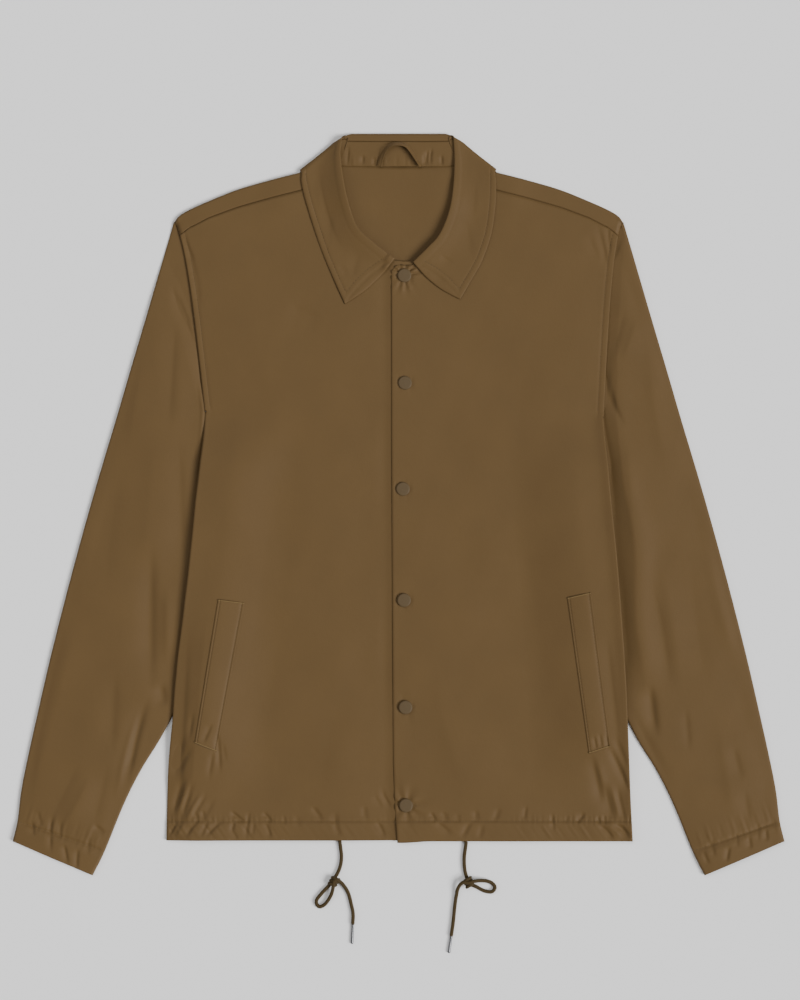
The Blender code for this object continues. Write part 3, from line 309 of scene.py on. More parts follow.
# Short creases that the cuff elastic makes, in the same columns
CUFF_CREASES = (
    (-376.6, -326, -375, -340.4, 1.6, -0.9, 0), (-370.6, -316, -367.6, -331, 1.6, -0.7, 0),
    (-356, -320, -357.4, -356.4, 1.6, -1, 0.8), (-347, -326, -348, -344, 1.4, -0.6, 0),
    (-343.6, -350, -340, -369.2, 1.6, -1, 0), (-329.2, -354, -330.6, -375, 1.5, -1, 0.6),
    (-318, -342, -319, -360, 1.4, -0.6, 0), (-312.6, -330, -302.4, -337.5, 1.7, -1.1, 0),
    (313.2, -356, 318.6, -370, 1.7, -1.1, 0), (322, -344, 325, -362, 1.5, -0.7, 0),
    (340, -352, 337.6, -367, 1.5, -0.9, 0), (347, -338, 349, -352, 1.4, -0.6, 0),
    (360.4, -341, 362.4, -354, 1.5, -0.8, 0), (369, -328, 370.6, -345, 1.4, -0.6, 0),
    (377.8, -334, 379.2, -346, 1.5, -0.9, 0), (386, -322, 388.6, -338, 1.4, -0.7, 0),
)

# Creases of the collar leaf, in the same columns
LEAF_CREASES = (
    (-49, 232, -42, 258, 3, -0.5, 1), (-70, 300, -73, 260, 4, -0.4, 0),
    (-60, 246, -52, 236, 1.6, -0.5, 0), (44, 255.6, 56, 250, 1.8, -0.6, 0.8),
    (34, 233, 48, 229, 1.8, -0.5, 0), (70, 290, 76, 250, 4, -0.4, 0),
    (-84, 330, -80, 300, 3, 0.35, 0), (82, 330, 80, 296, 3, 0.35, 0),
)

# Creases of the collar stand above the neck seam, in the same columns
STAND_CREASES = (
    (-51.4, 368, -52.4, 349, 1.4, -0.55, 0), (-36.3, 359, -36.8, 349.5, 1.3, -0.8, 0),
    (-24, 356, -25, 349, 1.2, -0.4, 0), (26, 360, 27.5, 349, 1.2, -0.5, 0),
    (30.3, 364, 29, 349, 1.2, -1, 0.6), (34.4, 366, 33.4, 349, 1.2, -0.9, 0.6),
    (44.3, 359, 44.8, 349, 1.3, -0.8, 0),
)

# Slow swells of the laid cloth: wavelength, direction in degrees, start, height
SWELLS = (
    (173, 12, 0.3, 0.3), (127, 74, 1.9, 0.22), (91, 141, 4.1, 0.15), (67, 33, 2.6, 0.09),
    (49, 103, 5.2, 0.06), (36, 160, 0.9, 0.035),
)

# Grooves beside the body's edge in the sleeve: up; depth at the edge, place and depth of the dip
# beside it on the right sleeve; depth, reach and the cloth's rise beyond on the left one
SLEEVE_GROOVE = (
    (-260, 0.5, 6, 0.8, 3.6, 16, 0.3), (-200, 0.7, 7, 1.4, 4, 21, 1.3),
    (-120, 0.9, 7, 1.6, 4.2, 15, 1.2), (-36, 0.9, 7, 1.6, 4.2, 20, 1.6), (20, 1, 7, 1.6, 4, 15, 1),
    (70, 1, 6, 1.3, 3.2, 14, 0.5), (130, 0.4, 6, 2.2, 1.7, 12, 0.2),
    (180, 0.3, 7, 2.4, 1.1, 10, 0.1), (216, 0.3, 8, 2.8, 0.9, 10, 0.1),
    (238, 0.3, 12, 3.4, 0.9, 9, 0.1), (268, 0.3, 12, 3.4, 0.9, 8, 0), (284, 0.3, 8, 1.8, 0.8, 6, 0),
    (292, 0.4, 5, 0.3, 1, 4, 0),
)


def linear(text):
    """Linear colour of an sRGB hex value: each channel raised through the sRGB curve."""
    channels = [int(text[i:i + 2], 16) / 255.0 for i in (1, 3, 5)]
    return tuple(c / 12.92 if c <= 0.04045 else ((c + 0.055) / 1.055) ** 2.4 for c in channels)


class JacketSizes(bpy.types.PropertyGroup):
    """Sizes of the cloth, cords and stitches."""

    cloth: FloatProperty(
        name="Cloth", description="Thickness of one layer as modelled", default=0.0006,
        unit="LENGTH", subtype="DISTANCE",
    )
    cord: FloatProperty(
        name="Drawcord", description="Diameter of the hem cord", default=0.004,
        unit="LENGTH", subtype="DISTANCE",
    )
    stitch: FloatProperty(
        name="Stitch", description="Length of one stitch with its gap", default=0.0032,
        unit="LENGTH", subtype="DISTANCE",
    )
    crease: FloatProperty(
        name="Creases", description="How deep the creases are against the laid jacket",
        default=1.0, subtype="FACTOR",
    )
    snap_sides: IntProperty(
        name="Snap sides", description="Sides of each snap cap", default=48,
    )


class JacketColours(bpy.types.PropertyGroup):
    """Colours of the cloth, cords and metal."""

    shell: FloatVectorProperty(
        name="Shell", description="Nylon of the body, sleeves and collar", size=3,
        default=linear("#5C4729"), subtype="COLOR",
    )
    # The thread is coloured darker than the shell, though the real thread matches the shell's tone:
    # this is painted shade for the grooves its stitches sink into.
    thread: FloatVectorProperty(
        name="Thread", description="Topstitching thread", size=3,
        default=linear("#43351B"), subtype="COLOR",
    )
    bar: FloatVectorProperty(
        name="Pocket bar", description="Thread across the pocket ends", size=3,
        default=linear("#6E5935"), subtype="COLOR",
    )
    cord: FloatVectorProperty(
        name="Drawcord", description="Braided hem cord", size=3,
        default=linear("#41341C"), subtype="COLOR",
    )
    snap: FloatVectorProperty(
        name="Snap", description="Enamelled snap cap", size=3,
        default=linear("#54452F"), subtype="COLOR",
    )
    aglet: FloatVectorProperty(
        name="Aglet", description="Metal of the cord tips", size=3,
        default=linear("#6E6E70"), subtype="COLOR",
    )


# Curves and heights


def ease(t):
    """Smooth step: 3 t squared less 2 t cubed, held at 0 and 1."""
    t = np.clip(t, 0.0, 1.0)
    return t * t * (3.0 - 2.0 * t)


def spline(rows, place):
    """Catmull-Rom curve through rows of numbers, at places counted in rows."""
    rows = np.asarray(rows, float)
    place = np.asarray(place, float)
    last = len(rows) - 1
    i = np.clip(place.astype(int), 0, last - 1)
    t = (place - i)[..., None]
    padded = np.vstack([2 * rows[0] - rows[1], rows, 2 * rows[-1] - rows[-2]])
    p, q, r, s = (padded[i + k] for k in range(4))
    return q + 0.5 * t * (r - p + t * (2 * p - 5 * q + 4 * r - s + t * (3 * (q - r) + s - p)))


def by_first(rows, at):
    """Row of a table at values of its first column, on a cubic through the rows."""
    rows = np.asarray(rows, float)
    if rows[0, 0] > rows[-1, 0]:
        rows = rows[::-1]
    at = np.clip(at, rows[0, 0], rows[-1, 0])
    i = np.clip(np.searchsorted(rows[:, 0], at, side="right") - 1, 0, len(rows) - 2)
    return spline(rows, i + (at - rows[i, 0]) / (rows[i + 1, 0] - rows[i, 0]))


def unit(v):
    """Vectors of length one along the last axis."""
    return v / np.maximum(np.linalg.norm(v, axis=-1, keepdims=True), 1e-9)


def armhole(side, t):
    """Armhole points out from the middle and up: a straight line with a bow to the middle."""
    t = np.asarray(t, float)
    tip, under = np.array(SHOULDER_TIP), np.array(UNDERARM[side])
    along = unit(under - tip)
    bow = ARMHOLE_BOW * np.sin(np.pi * np.clip(t, 0.0, 1.0) ** ARMHOLE_EASE)
    line = tip + (under - tip) * t[..., None]
    return line + bow[..., None] * np.array((along[1], -along[0]))


def edge_out(side, y):
    """How far out the body's edge is: side fold below the underarm, armhole above it."""
    tip, under = SHOULDER_TIP[1], UNDERARM[side][1]
    fold = by_first(SIDES, y)[..., 1 if side < 0 else 2]
    t = (tip - np.minimum(y, tip)) / (tip - under)
    return np.where(y <= under, fold, armhole(side, t)[..., 0])


def shoulder_seam(side, out):
    """Height up the plan of the seam in front of the shoulder."""
    end = armhole(side, np.array(SHOULDER_SEAM_AT))
    return by_first(np.vstack([SHOULDER_SEAM, end]), out)[..., 1]


def base(side, x, y):
    """Height of the body's underside: it lies on the sleeves' inner folds and the collar."""
    inside = edge_out(side, y) - np.abs(x)
    along = ease((UNDERARM[side][1] - y) / 62.0) * ease((y + 322.0) / 100.0)
    across = 1.0 - ease((inside - 31.0) / 72.0)
    collar = ease((y - 292.0) / 26.0) * ease((152.0 - np.abs(x)) / 36.0)
    return BODY_LIFT * along * across + COLLAR_LIFT * collar


def tunnel(y):
    """One in the hem tunnel, nought above its stitch line."""
    return ease((HEM_STITCH + 5.0 - y) / 8.0)


def near_neck(y):
    """One beside the neck, nought on the chest."""
    return ease((y - 262.0) / 60.0)


def loft(side, x, y, front):
    """Thickness of the laid body: front is -1 under, 1 on top, or 0 for the back's wrap."""
    inside = edge_out(side, y) - np.abs(x)
    shoulder = by_first(SHOULDER, np.abs(x))[..., 1] - y
    inside = np.where(np.abs(x) > SHOULDER[0][0], np.minimum(inside, shoulder), inside)
    height = EDGE_LOFT + (PANEL_LOFT - EDGE_LOFT) * ease(inside / 40.0)
    height = height - NECK_DROP * near_neck(y) * ease((118.0 - np.abs(x)) / 46.0)
    if front < 0:
        middle = ease((x + 70.0) / 58.0)
        height = height + (UNDERLAP_LOFT - PANEL_LOFT) * middle
        return height + TUNNEL_SWELL * tunnel(y) * (1.0 - 0.6 * middle)
    middle = ease((70.0 - x) / 50.0) if front > 0 else 0.0
    return height + (OVERLAP_LOFT - PANEL_LOFT) * middle + TUNNEL_SWELL * tunnel(y)


def crease(rows, x, y):
    """Sum of soft troughs and ridges.

    Each is its height times exp(-(distance from its bent line / half width) to the power 1.6), eased
    to nothing near its ends. The cloth leans: one wall is steep and the other, toward the sleeve on
    the wearer's left, is drawn out.
    """
    total = np.zeros_like(x)
    for x0, y0, x1, y1, half, height, bend in rows:
        dx, dy = x1 - x0, y1 - y0
        far = math.hypot(dx, dy)
        run = ((x - x0) * dx + (y - y0) * dy) / far ** 2
        off = ((x - x0) * dy - (y - y0) * dx) / far
        off = off - bend * 4.0 * run * (1.0 - run)
        fade = ease((run + 0.12) / 0.45) * ease((1.12 - run) / 0.45)
        lean = math.copysign(1.0, LEAN_X * dy - LEAN_Y * dx) * math.copysign(1.0, -height)
        wall = half * np.where(off * lean > 0.0, STEEP_WALL, LONG_WALL)
        total += height * fade * np.exp(-np.abs(off / wall) ** 1.6)
    return total


def bell(distance, reach):
    """One at no distance, dying off as exp(-(distance / reach) squared)."""
    return np.exp(-(distance / reach) ** 2)


def swell(x, y):
    """Slow unevenness: a sum of plane waves of table lengths and directions."""
    total = np.zeros_like(x)
    for length, angle, start, height in SWELLS:
        turn = math.radians(angle)
        wave = (x * math.cos(turn) + y * math.sin(turn)) * 2.0 * math.pi / length
        total += height * np.sin(wave + start + 0.7 * np.sin(0.37 * wave + 2.0 * start))
    return total


def pucker(along, across, reach, pitch, height):
    """Uneven short waves square to a seam: sines of the run, dying off with the distance."""
    turn = 2.0 * math.pi * along / pitch
    wave = np.sin(turn) + 0.7 * np.sin(1.71 * turn + 1.3) + 0.5 * np.sin(0.53 * turn + 0.4)
    gate = 0.4 + 0.6 * np.sin(0.137 * turn + 0.8) ** 2
    return height * gate * wave / 2.2 * bell(across, reach)


def stitched(along, across, depth, reach=1.6, pitch=6.0, height=0.16):
    """A stitched line: a small groove with the cloth puckered on both sides of it."""
    return pucker(along, across, 3.2 * reach, pitch, height) - depth * bell(across, reach)


def rings(x, y, centre, count, start, height, reach):
    """Creases that run out from a snap: a cosine round it, dying off with the distance."""
    dx, dy = x - centre[0], y - centre[1]
    far = np.hypot(dx, dy)
    turn = np.arctan2(dy, dx)
    spoke = np.cos(count * turn + start + 0.8 * np.sin(2.0 * turn + start))
    return height * spoke * ease((far - 5.0) / 4.0) * bell(np.maximum(far - 8.0, 0.0), reach)


def body_relief(side, x, y, front):
    """Creases, swells, puckers and edges of the body's top cloth."""
    depth = bpy.context.scene.jacket_sizes.crease
    inside = edge_out(side, y) - np.abs(x)
    above = ease((y - UNDERARM[side][1] + 4.0) / 10.0)
    total = 1.4 * crease(BODY_CREASES, x, y) + 1.7 * crease(HEM_CREASES, x, y) + swell(x, y)
    drawn = 0.3 + 0.7 * ease((np.abs(x) - 95.0) / 70.0) + 0.5 * bell(x + 60.0, 26.0)
    above_hem = y - HEM_STITCH
    total += drawn * pucker(x, above_hem - 1.0, 4.6, 5.3, 0.62)
    total += drawn * pucker(x + 0.7 * above_hem, y - (HEM_RIGHT + 9.0), 8.0, 9.5, 0.5)
    total -= 0.95 * bell(above_hem, 1.25)
    total += above * stitched(y, inside - STITCH_INSET, 0.35, 1.2, 6.5, 0.25)
    total += above * pucker(y, inside - 2.0, 5.0, 5.2, 0.22)
    total += above * 0.25 * bell(inside, 5.0)
    total -= above * (0.7 if side < 0 else 0.2) * bell(np.maximum(inside, 0.0), 0.8)
    if side < 0:
        rise = 3.7 * np.clip(inside / 26.0, 0.0, 1.0) - 1.5 * ease((inside - 26.0) / 90.0)
        total += ease((-105.0 - y) / 60.0) * (rise - 2.2)
    else:
        total += 1.5 * (1.0 - above) * bell(inside, 7.0)
    if front > 0:
        for centre in SNAPS:
            rim = np.hypot(x - centre[0], y - centre[1]) - SNAP_RADIUS - 0.3
            total -= 0.55 * bell(rim, 1.0)
        for snap, *spokes in SNAP_CREASES:
            total += rings(x, y, SNAPS[snap], *spokes)
        total -= 0.6 * bell(x - by_first(PLACKET, y)[..., 1], 1.1)
    elif front < 0:
        gap = by_first(PLACKET, y)[..., 1] - x
        shade = 0.35 + 0.65 * np.sin(y / 61.0 + 0.9) ** 2
        total += 0.5 * bell(gap + 2.0, 5.0) - 0.5 * shade * bell(gap - 7.0, 7.0)
    return depth * total


def plain_top(side, x, y, front):
    """Top of the body's cloth with no relief, which the collar and caps lie on."""
    return base(side, x, y) + loft(side, x, y, front)


def body_top(side, x, y, front):
    """Top of the body's cloth: underside, loft and relief."""
    return plain_top(side, x, y, front) + body_relief(side, x, y, front)


# Mesh building

SEAM_MERGE = 0.02
POLE_MERGE = 0.01


def grid_quads(rows, cols, start=0, ring=False):
    """Quads of a grid of points, row after row; a ring joins its last column to the first."""
    across = np.arange(cols if ring else cols - 1)
    i, j = np.meshgrid(np.arange(rows - 1), across, indexing="ij")
    k = (j + 1) % cols
    quads = np.stack([i * cols + j, i * cols + k, (i + 1) * cols + k, (i + 1) * cols + j], axis=-1)
    return quads.reshape(-1, 4) + start


def make_mesh(name, points, quads):
    """A mesh from arrays of points in millimetres and quads."""
    mesh = bpy.data.meshes.new(name)
    mesh.vertices.add(len(points))
    mesh.vertices.foreach_set("co", (points * MM).astype(np.float32).ravel())
    mesh.loops.add(quads.size)
    mesh.loops.foreach_set("vertex_index", quads.astype(np.int32).ravel())
    mesh.polygons.add(len(quads))
    mesh.polygons.foreach_set("loop_start", np.arange(0, quads.size, 4, dtype=np.int32))
    mesh.update(calc_edges=True)
    return mesh


def face_out(mesh, merge=0.0):
    """Joins points nearer than merge and turns the faces out."""
    bm = bmesh.new()
    bm.from_mesh(mesh)
    if merge:
        bmesh.ops.remove_doubles(bm, verts=bm.verts, dist=merge * MM)
    bmesh.ops.recalc_face_normals(bm, faces=bm.faces)
    bm.to_mesh(mesh)
    bm.free()


def put(mesh, look, nodes=()):
    """Puts a mesh in the scene as a piece that rides the jacket and replaces its nodes."""
    mesh.shade_smooth()
    obj = bpy.data.objects.new(mesh.name, mesh)
    bpy.context.scene.collection.objects.link(obj)
    mesh.materials.append(look)
    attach(obj, "root")
    if nodes:
        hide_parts(*nodes)
    return obj


def piece(name, grids, look, nodes=(), wall=None, up=False, merge=None):
    """One piece from grids of points (rows, columns, 3), each given as (points, ring).

    merge joins points nearer than that and turns the faces out. up turns the middle face of the
    first grid up, and wall gives the cloth a thickness on its inner side.
    """
    points, quads, start = [], [], 0
    for grid, ring in grids:
        rows, cols = grid.shape[:2]
        points.append(grid.reshape(-1, 3))
        quads.append(grid_quads(rows, cols, start, ring))
        start += rows * cols
    points, quads = np.concatenate(points), np.concatenate(quads)
    mesh = make_mesh(name, points, quads)
    if merge is not None:
        face_out(mesh, merge)
    if up:
        first = grids[0][0]
        middle = first[first.shape[0] // 2, first.shape[1] // 2] * MM
        centres = np.empty(len(mesh.polygons) * 3)
        mesh.polygons.foreach_get("center", centres)
        off = np.linalg.norm(centres.reshape(-1, 3) - middle, axis=1)
        if mesh.polygons[int(np.argmin(off))].normal.z < 0:
            mesh.flip_normals()
    obj = put(mesh, look, nodes)
    if wall:
        thick = obj.modifiers.new("Cloth", "SOLIDIFY")
        thick.thickness = wall
        thick.offset = -1.0
        thick.use_even_offset = False
        thick.use_rim = True
    return obj


def cloth_piece(name, grids, node, wall=None, up=True, merge=None):
    """A piece of the shell nylon that stands for one node."""
    return piece(name, grids, finish("shell nylon"), (node,), wall, up, merge)


def full_turn(count):
    """Angles round a whole turn, an equal step apart."""
    return np.linspace(0.0, 2.0 * math.pi, count, endpoint=False)


def runs(*spans):
    """Spans of equal steps end to end, each given as (start, end, number of points)."""
    return np.concatenate([np.linspace(*span)[:-1] for span in spans[:-1]] + [np.linspace(*spans[-1])])


def steps(length, fine, coarse, reach):
    """Places from 0 to 1 along a length, fine for a reach at both ends and coarse between."""
    ends = np.arange(0.0, reach, fine)
    middle = np.linspace(reach, length - reach, max(2, int((length - 2 * reach) / coarse) + 1))
    return np.concatenate([ends, middle, length - ends[::-1]]) / length


# Finishes


def add(tree, kind, settings=(), links=()):
    """Adds a node, sets its sockets or properties by name and links sockets to its inputs."""
    node = tree.nodes.new(kind)
    for key, value in dict(settings).items():
        if key in node.inputs:
            node.inputs[key].default_value = value
        else:
            setattr(node, key, value)
    for key, socket in dict(links).items():
        tree.links.new(socket, node.inputs[key])
    return node


def new_finish(name, settings):
    """A material with its Principled shader set from a dict of socket values."""
    mat = bpy.data.materials.new(name)
    mat.use_nodes = True
    shader = mat.node_tree.nodes["Principled BSDF"]
    for key, value in settings.items():
        shader.inputs[key].default_value = value
    return mat, mat.node_tree, shader


def tone(tree, shader, colour, noise, low, high):
    """Gives the shader the colour, made a little darker and lighter by a noise."""
    ramp = add(tree, "ShaderNodeMapRange", {"To Min": low, "To Max": high}, {"Value": noise})
    settings = {"data_type": "RGBA", "blend_type": "MULTIPLY", "Factor": 1.0, "A": (*colour, 1.0)}
    mixer = add(tree, "ShaderNodeMix", settings, {"B": ramp.outputs["Result"]})
    tree.links.new(mixer.outputs["Result"], shader.inputs["Base Color"])


def flecked(name, colour, settings, pattern, low, high, strength=0.0):
    """A finish whose colour, and relief of 0.2 mm by strength, follow one fine noise."""
    mat, tree, shader = new_finish(name, settings)
    place = add(tree, "ShaderNodeTexCoord").outputs["Object"]
    fleck = add(tree, "ShaderNodeTexNoise", pattern, {"Vector": place}).outputs["Fac"]
    tone(tree, shader, colour, fleck, low, high)
    if strength:
        relief = {"Strength": strength, "Distance": 0.0002}
        bump = add(tree, "ShaderNodeBump", relief, {"Height": fleck})
        tree.links.new(bump.outputs["Normal"], shader.inputs["Normal"])
    return mat


def nylon_taffeta(name, colour):
    """Plain nylon taffeta, calendered: even colour, low broad sheen, fine crinkle.

    Its threads are 0.1 mm apart and too fine to show, so the grain is drawn near 1 mm.
    """
    settings = {
        "Roughness": 0.6, "IOR": 1.53, "Specular IOR Level": 0.16, "Sheen Weight": 0.05,
        "Sheen Roughness": 0.5,
    }
    mat, tree, shader = new_finish(name, settings)
    place = add(tree, "ShaderNodeTexCoord").outputs["Object"]
    slow, grain, crinkle = (
        add(tree, "ShaderNodeTexNoise", pattern, {"Vector": place}).outputs["Fac"]
        for pattern in (
            {"Scale": 22.0, "Detail": 4.0, "Roughness": 0.55},
            {"Scale": 900.0, "Detail": 2.0},
            {"Scale": 160.0, "Detail": 5.0, "Roughness": 0.6},
        )
    )
    tone(tree, shader, colour, slow, 0.93, 1.07)
    height = add(tree, "ShaderNodeMath", {"operation": "MULTIPLY_ADD"}, {0: grain, 2: crinkle})
    height.inputs[1].default_value = 0.35
    relief = {"Strength": 0.22, "Distance": 0.0006}
    bump = add(tree, "ShaderNodeBump", relief, {"Height": height.outputs["Value"]})
    tree.links.new(bump.outputs["Normal"], shader.inputs["Normal"])
    return mat


def spun_thread(name, colour):
    """Polyester thread, twisted: matt with a slight gloss on each turn."""
    settings = {"Roughness": 0.7, "Sheen Weight": 0.05, "Specular IOR Level": 0.25}
    return flecked(name, colour, settings, {"Scale": 1400.0, "Detail": 2.0}, 0.85, 1.15)


def braided_cord(name, colour):
    """Round polyester braid: matt, its strands modelled, lighter where they crown."""
    settings = {"Roughness": 0.8, "Sheen Weight": 0.05, "Specular IOR Level": 0.2}
    return flecked(name, colour, settings, {"Scale": 1100.0, "Detail": 3.0}, 0.7, 1.3, 0.4)


def baked_enamel(name, colour):
    """Enamel baked on a pressed steel cap: matt, slightly pebbled."""
    settings = {"Roughness": 0.55, "IOR": 1.5, "Specular IOR Level": 0.2}
    return flecked(name, colour, settings, {"Scale": 700.0, "Detail": 3.0}, 0.92, 1.08, 0.12)


def rolled_steel(name, colour):
    """Thin steel sheet rolled and crimped round the cord: bright, with fine wipe marks."""
    mat, tree, shader = new_finish(name, {"Metallic": 1.0, "Roughness": 0.3})
    place = add(tree, "ShaderNodeTexCoord").outputs["Object"]
    wipe = add(tree, "ShaderNodeTexNoise", {"Scale": 500.0, "Detail": 3.0}, {"Vector": place})
    span = {"To Min": 0.24, "To Max": 0.42}
    rough = add(tree, "ShaderNodeMapRange", span, {"Value": wipe.outputs["Fac"]})
    tree.links.new(rough.outputs["Result"], shader.inputs["Roughness"])
    shader.inputs["Base Color"].default_value = (*colour, 1.0)
    return mat


def finish(kind):
    """The jacket's finish of that kind, made once."""
    found = bpy.data.materials.get(kind)
    if found:
        return found
    colours = bpy.context.scene.jacket_colours
    makers = {
        "shell nylon": (nylon_taffeta, colours.shell),
        # Topstitch thread: its darker colour is painted shade of the stitch grooves.
        "topstitch thread": (spun_thread, colours.thread),
        "pocket bar thread": (spun_thread, colours.bar),
        "hem braid": (braided_cord, colours.cord),
        "snap enamel": (baked_enamel, colours.snap),
        "aglet steel": (rolled_steel, colours.aglet),
    }
    maker, colour = makers[kind]
    return maker(kind, tuple(colour))


# Stage

PICTURE_MIDDLE = (1.44, 4.64)
FLOOR_HALF = 6000.0

# Lights: name, direction round the jacket and above the floor, strength, how wide it looks
LIGHTS = (("key", -20, 41, 3.9, 30), ("high", 100, 66, 0.8, 40), ("fill", 168, 38, 0.55, 40))


class JACKET_OT_stage(bpy.types.Operator):
    """Camera straight above, pale floor and soft studio light."""

    bl_idname = "jacket.stage"
    bl_label = "Stage"

    frame_height: FloatProperty(
        name="Frame height", description="Height of the floor that the picture takes in",
        default=1.03, unit="LENGTH", subtype="DISTANCE",
    )
    distance: FloatProperty(
        name="Distance", description="Height of the camera above the floor", default=3.2,
        unit="LENGTH", subtype="DISTANCE",
    )

    def execute(self, context):
        scene = context.scene
        data = bpy.data.cameras.new("camera")
        data.sensor_fit = "VERTICAL"
        data.sensor_height = 36.0
        data.lens = data.sensor_height * self.distance / self.frame_height
        camera = bpy.data.objects.new("camera", data)
        camera.location = (PICTURE_MIDDLE[0] * MM, PICTURE_MIDDLE[1] * MM, self.distance)
        scene.collection.objects.link(camera)
        scene.camera = camera

        mesh = bpy.data.meshes.new("floor")
        half = FLOOR_HALF * MM
        corners = [(x * half, y * half, 0) for x, y in ((-1, -1), (1, -1), (1, 1), (-1, 1))]
        mesh.from_pydata(corners, [], [(0, 1, 2, 3)])
        floor = bpy.data.objects.new("floor", mesh)
        scene.collection.objects.link(floor)
        mat, _, _ = new_finish("pale floor", {"Base Color": (0.93, 0.93, 0.93, 1.0), "Roughness": 0.9})
        floor.data.materials.append(mat)

        world = bpy.data.worlds.new("studio")
        world.use_nodes = True
        back = world.node_tree.nodes["Background"]
        back.inputs["Color"].default_value = (1.0, 1.0, 1.0, 1.0)
        back.inputs["Strength"].default_value = 0.19
        scene.world = world

        for name, azimuth, lift, strength, angle in LIGHTS:
            light = bpy.data.lights.new(name, "SUN")
            light.energy = strength
            light.angle = math.radians(angle)
            lamp = bpy.data.objects.new(name, light)
            turn, up = math.radians(azimuth), math.radians(lift)
            lamp.location = (
                math.cos(up) * math.cos(turn), math.cos(up) * math.sin(turn), math.sin(up) + 1.0,
            )
            lamp.rotation_euler = (math.pi / 2 - up, 0.0, turn + math.pi / 2)
            scene.collection.objects.link(lamp)
        return {"FINISHED"}


# Drawcord

BRAID_SIDES = 20
BRAID_STRANDS = 8
BRAID_PITCH = 9.0
BRAID_RISE = 0.14

# Slip knots: wraps and their radius, then the middle of each and the way it points in degrees
KNOT_TURNS = 2.5
KNOT_RADIUS = 3.5
KNOTS = {"right": (-66.4, -387.6, 3.4, 60.0), "left": (72.0, -388.6, 3.4, 110.0)}

# Aglets: places of the crimps along one, their depth and half length, and the rounded end's share
CRIMPS = (0.16, 0.3)
CRIMP_DEPTH = 0.28
CRIMP_REACH = 0.7
AGLET_END = 0.8


def frames_along(path):
    """Unit tangents, and two unit vectors square to them, along a path of points."""
    tangent = unit(np.gradient(path, axis=0))
    side = unit(np.cross(tangent, (0.0, 0.0, 1.0)))
    return tangent, side, np.cross(side, tangent)


def run_along(path):
    """Distance run at each point of a path."""
    return np.concatenate([[0.0], np.cumsum(np.linalg.norm(np.diff(path, axis=0), axis=1))])


def round_path(path, side, up, wide, tall, angle):
    """Rings round a path: wide times the cosine to the side, tall times the sine upward."""
    out, high = wide * np.cos(angle), tall * np.sin(angle)
    return path[:, None] + out[..., None] * side[:, None] + high[..., None] * up[:, None]


def braid(path, radius):
    """A braided tube: the radius swells over each strand of two crossing sets of helices."""
    _, side, up = frames_along(path)
    angle, twist = np.meshgrid(full_turn(BRAID_SIDES), run_along(path) * 2.0 * math.pi / BRAID_PITCH)
    half = 0.5 * BRAID_STRANDS
    ridge = np.maximum(np.cos(half * (angle + twist)), np.cos(half * (angle - twist)))
    swollen = radius * (1.0 - BRAID_RISE + BRAID_RISE * ridge)
    return round_path(path, side, up, swollen, swollen, angle)


def capped(tube, path):
    """A tube with its ends closed on the path's end points."""
    first = np.repeat(path[:1], tube.shape[1], axis=0)[None]
    last = np.repeat(path[-1:], tube.shape[1], axis=0)[None]
    return np.concatenate([first, tube, last])


def even_path(route, gap):
    """Points on a smooth curve through a route, an equal gap apart."""
    fine = spline(route, np.linspace(0.0, len(route) - 1.0, 2000))
    run = run_along(fine)
    at = np.linspace(0.0, run[-1], int(run[-1] / gap) + 1)
    return np.stack([np.interp(at, run, fine[:, k]) for k in range(3)], axis=1)


class JACKET_OT_drawcord(bpy.types.Operator):
    """The two free ends of the hem cord, with a slip knot and a metal tip on each."""

    bl_idname = "jacket.drawcord"
    bl_label = "Drawcord"

    def execute(self, context):
        radius = 0.5 * context.scene.jacket_sizes.cord / MM
        for hand, route in CORDS.items():
            path = even_path(route, 0.45)
            tube = capped(braid(path, radius), path)
            cord = piece(
                f"cord_{hand}", [(tube, True)], finish("hem braid"),
                (f"drawcord_{hand}",), merge=POLE_MERGE,
            )
            knot = self.knot(hand, radius)
            tip = self.aglet(hand, route)
        return {"FINISHED"}

    def knot(self, hand, radius):
        """Wraps of cord round the crossing: a flat helix of two and a half turns."""
        x, y, z, heading = KNOTS[hand]
        turn = np.linspace(0.0, 2.0 * math.pi * KNOT_TURNS, 90)
        pitch = 1.7 * radius
        along = (turn / (2.0 * math.pi) - 0.5 * KNOT_TURNS) * pitch
        head = math.radians(heading)
        across = KNOT_RADIUS * np.cos(turn)
        path = np.stack([
            x + along * math.cos(head) - across * math.sin(head),
            y + along * math.sin(head) + across * math.cos(head),
            z + 0.62 * KNOT_RADIUS * np.sin(turn) + 1.0,
        ], axis=1)
        path[:, 2] = np.maximum(path[:, 2], 0.9 * radius)
        tube = capped(braid(path, 0.86 * radius), path)
        braided = finish("hem braid")
        return piece(f"knot_{hand}", [(tube, True)], braided, merge=POLE_MERGE)

    def aglet(self, hand, route):
        """A rolled metal tip: a tube with two crimps and a rounded end."""
        before, end = np.array(route[-2]), np.array(route[-1])
        heading = end - before
        heading[2] = 0.0
        heading = unit(heading)
        long = AGLETS[hand]
        start = np.array((end[0], end[1], AGLET_RADIUS)) + heading * SEAM_GAP
        at = np.concatenate([np.linspace(0.0, 1.0, 41), [1.0]])
        radius = AGLET_RADIUS * np.ones_like(at)
        for crimp in CRIMPS:
            radius -= CRIMP_DEPTH * bell((at - crimp) * long, CRIMP_REACH)
        radius *= np.where(at > 0.97, AGLET_END, 1.0)
        path = start + heading * (at * long)[:, None]
        side = np.array(((heading[1], -heading[0], 0.0),))
        up = np.array(((0.0, 0.0, 1.0),))
        tube = round_path(path, side, up, radius[:, None], radius[:, None], full_turn(24))
        return piece(
            f"tip_{hand}", [(capped(tube, path), True)], finish("aglet steel"),
            (f"aglet_{hand}",), merge=POLE_MERGE,
        )


# Fronts


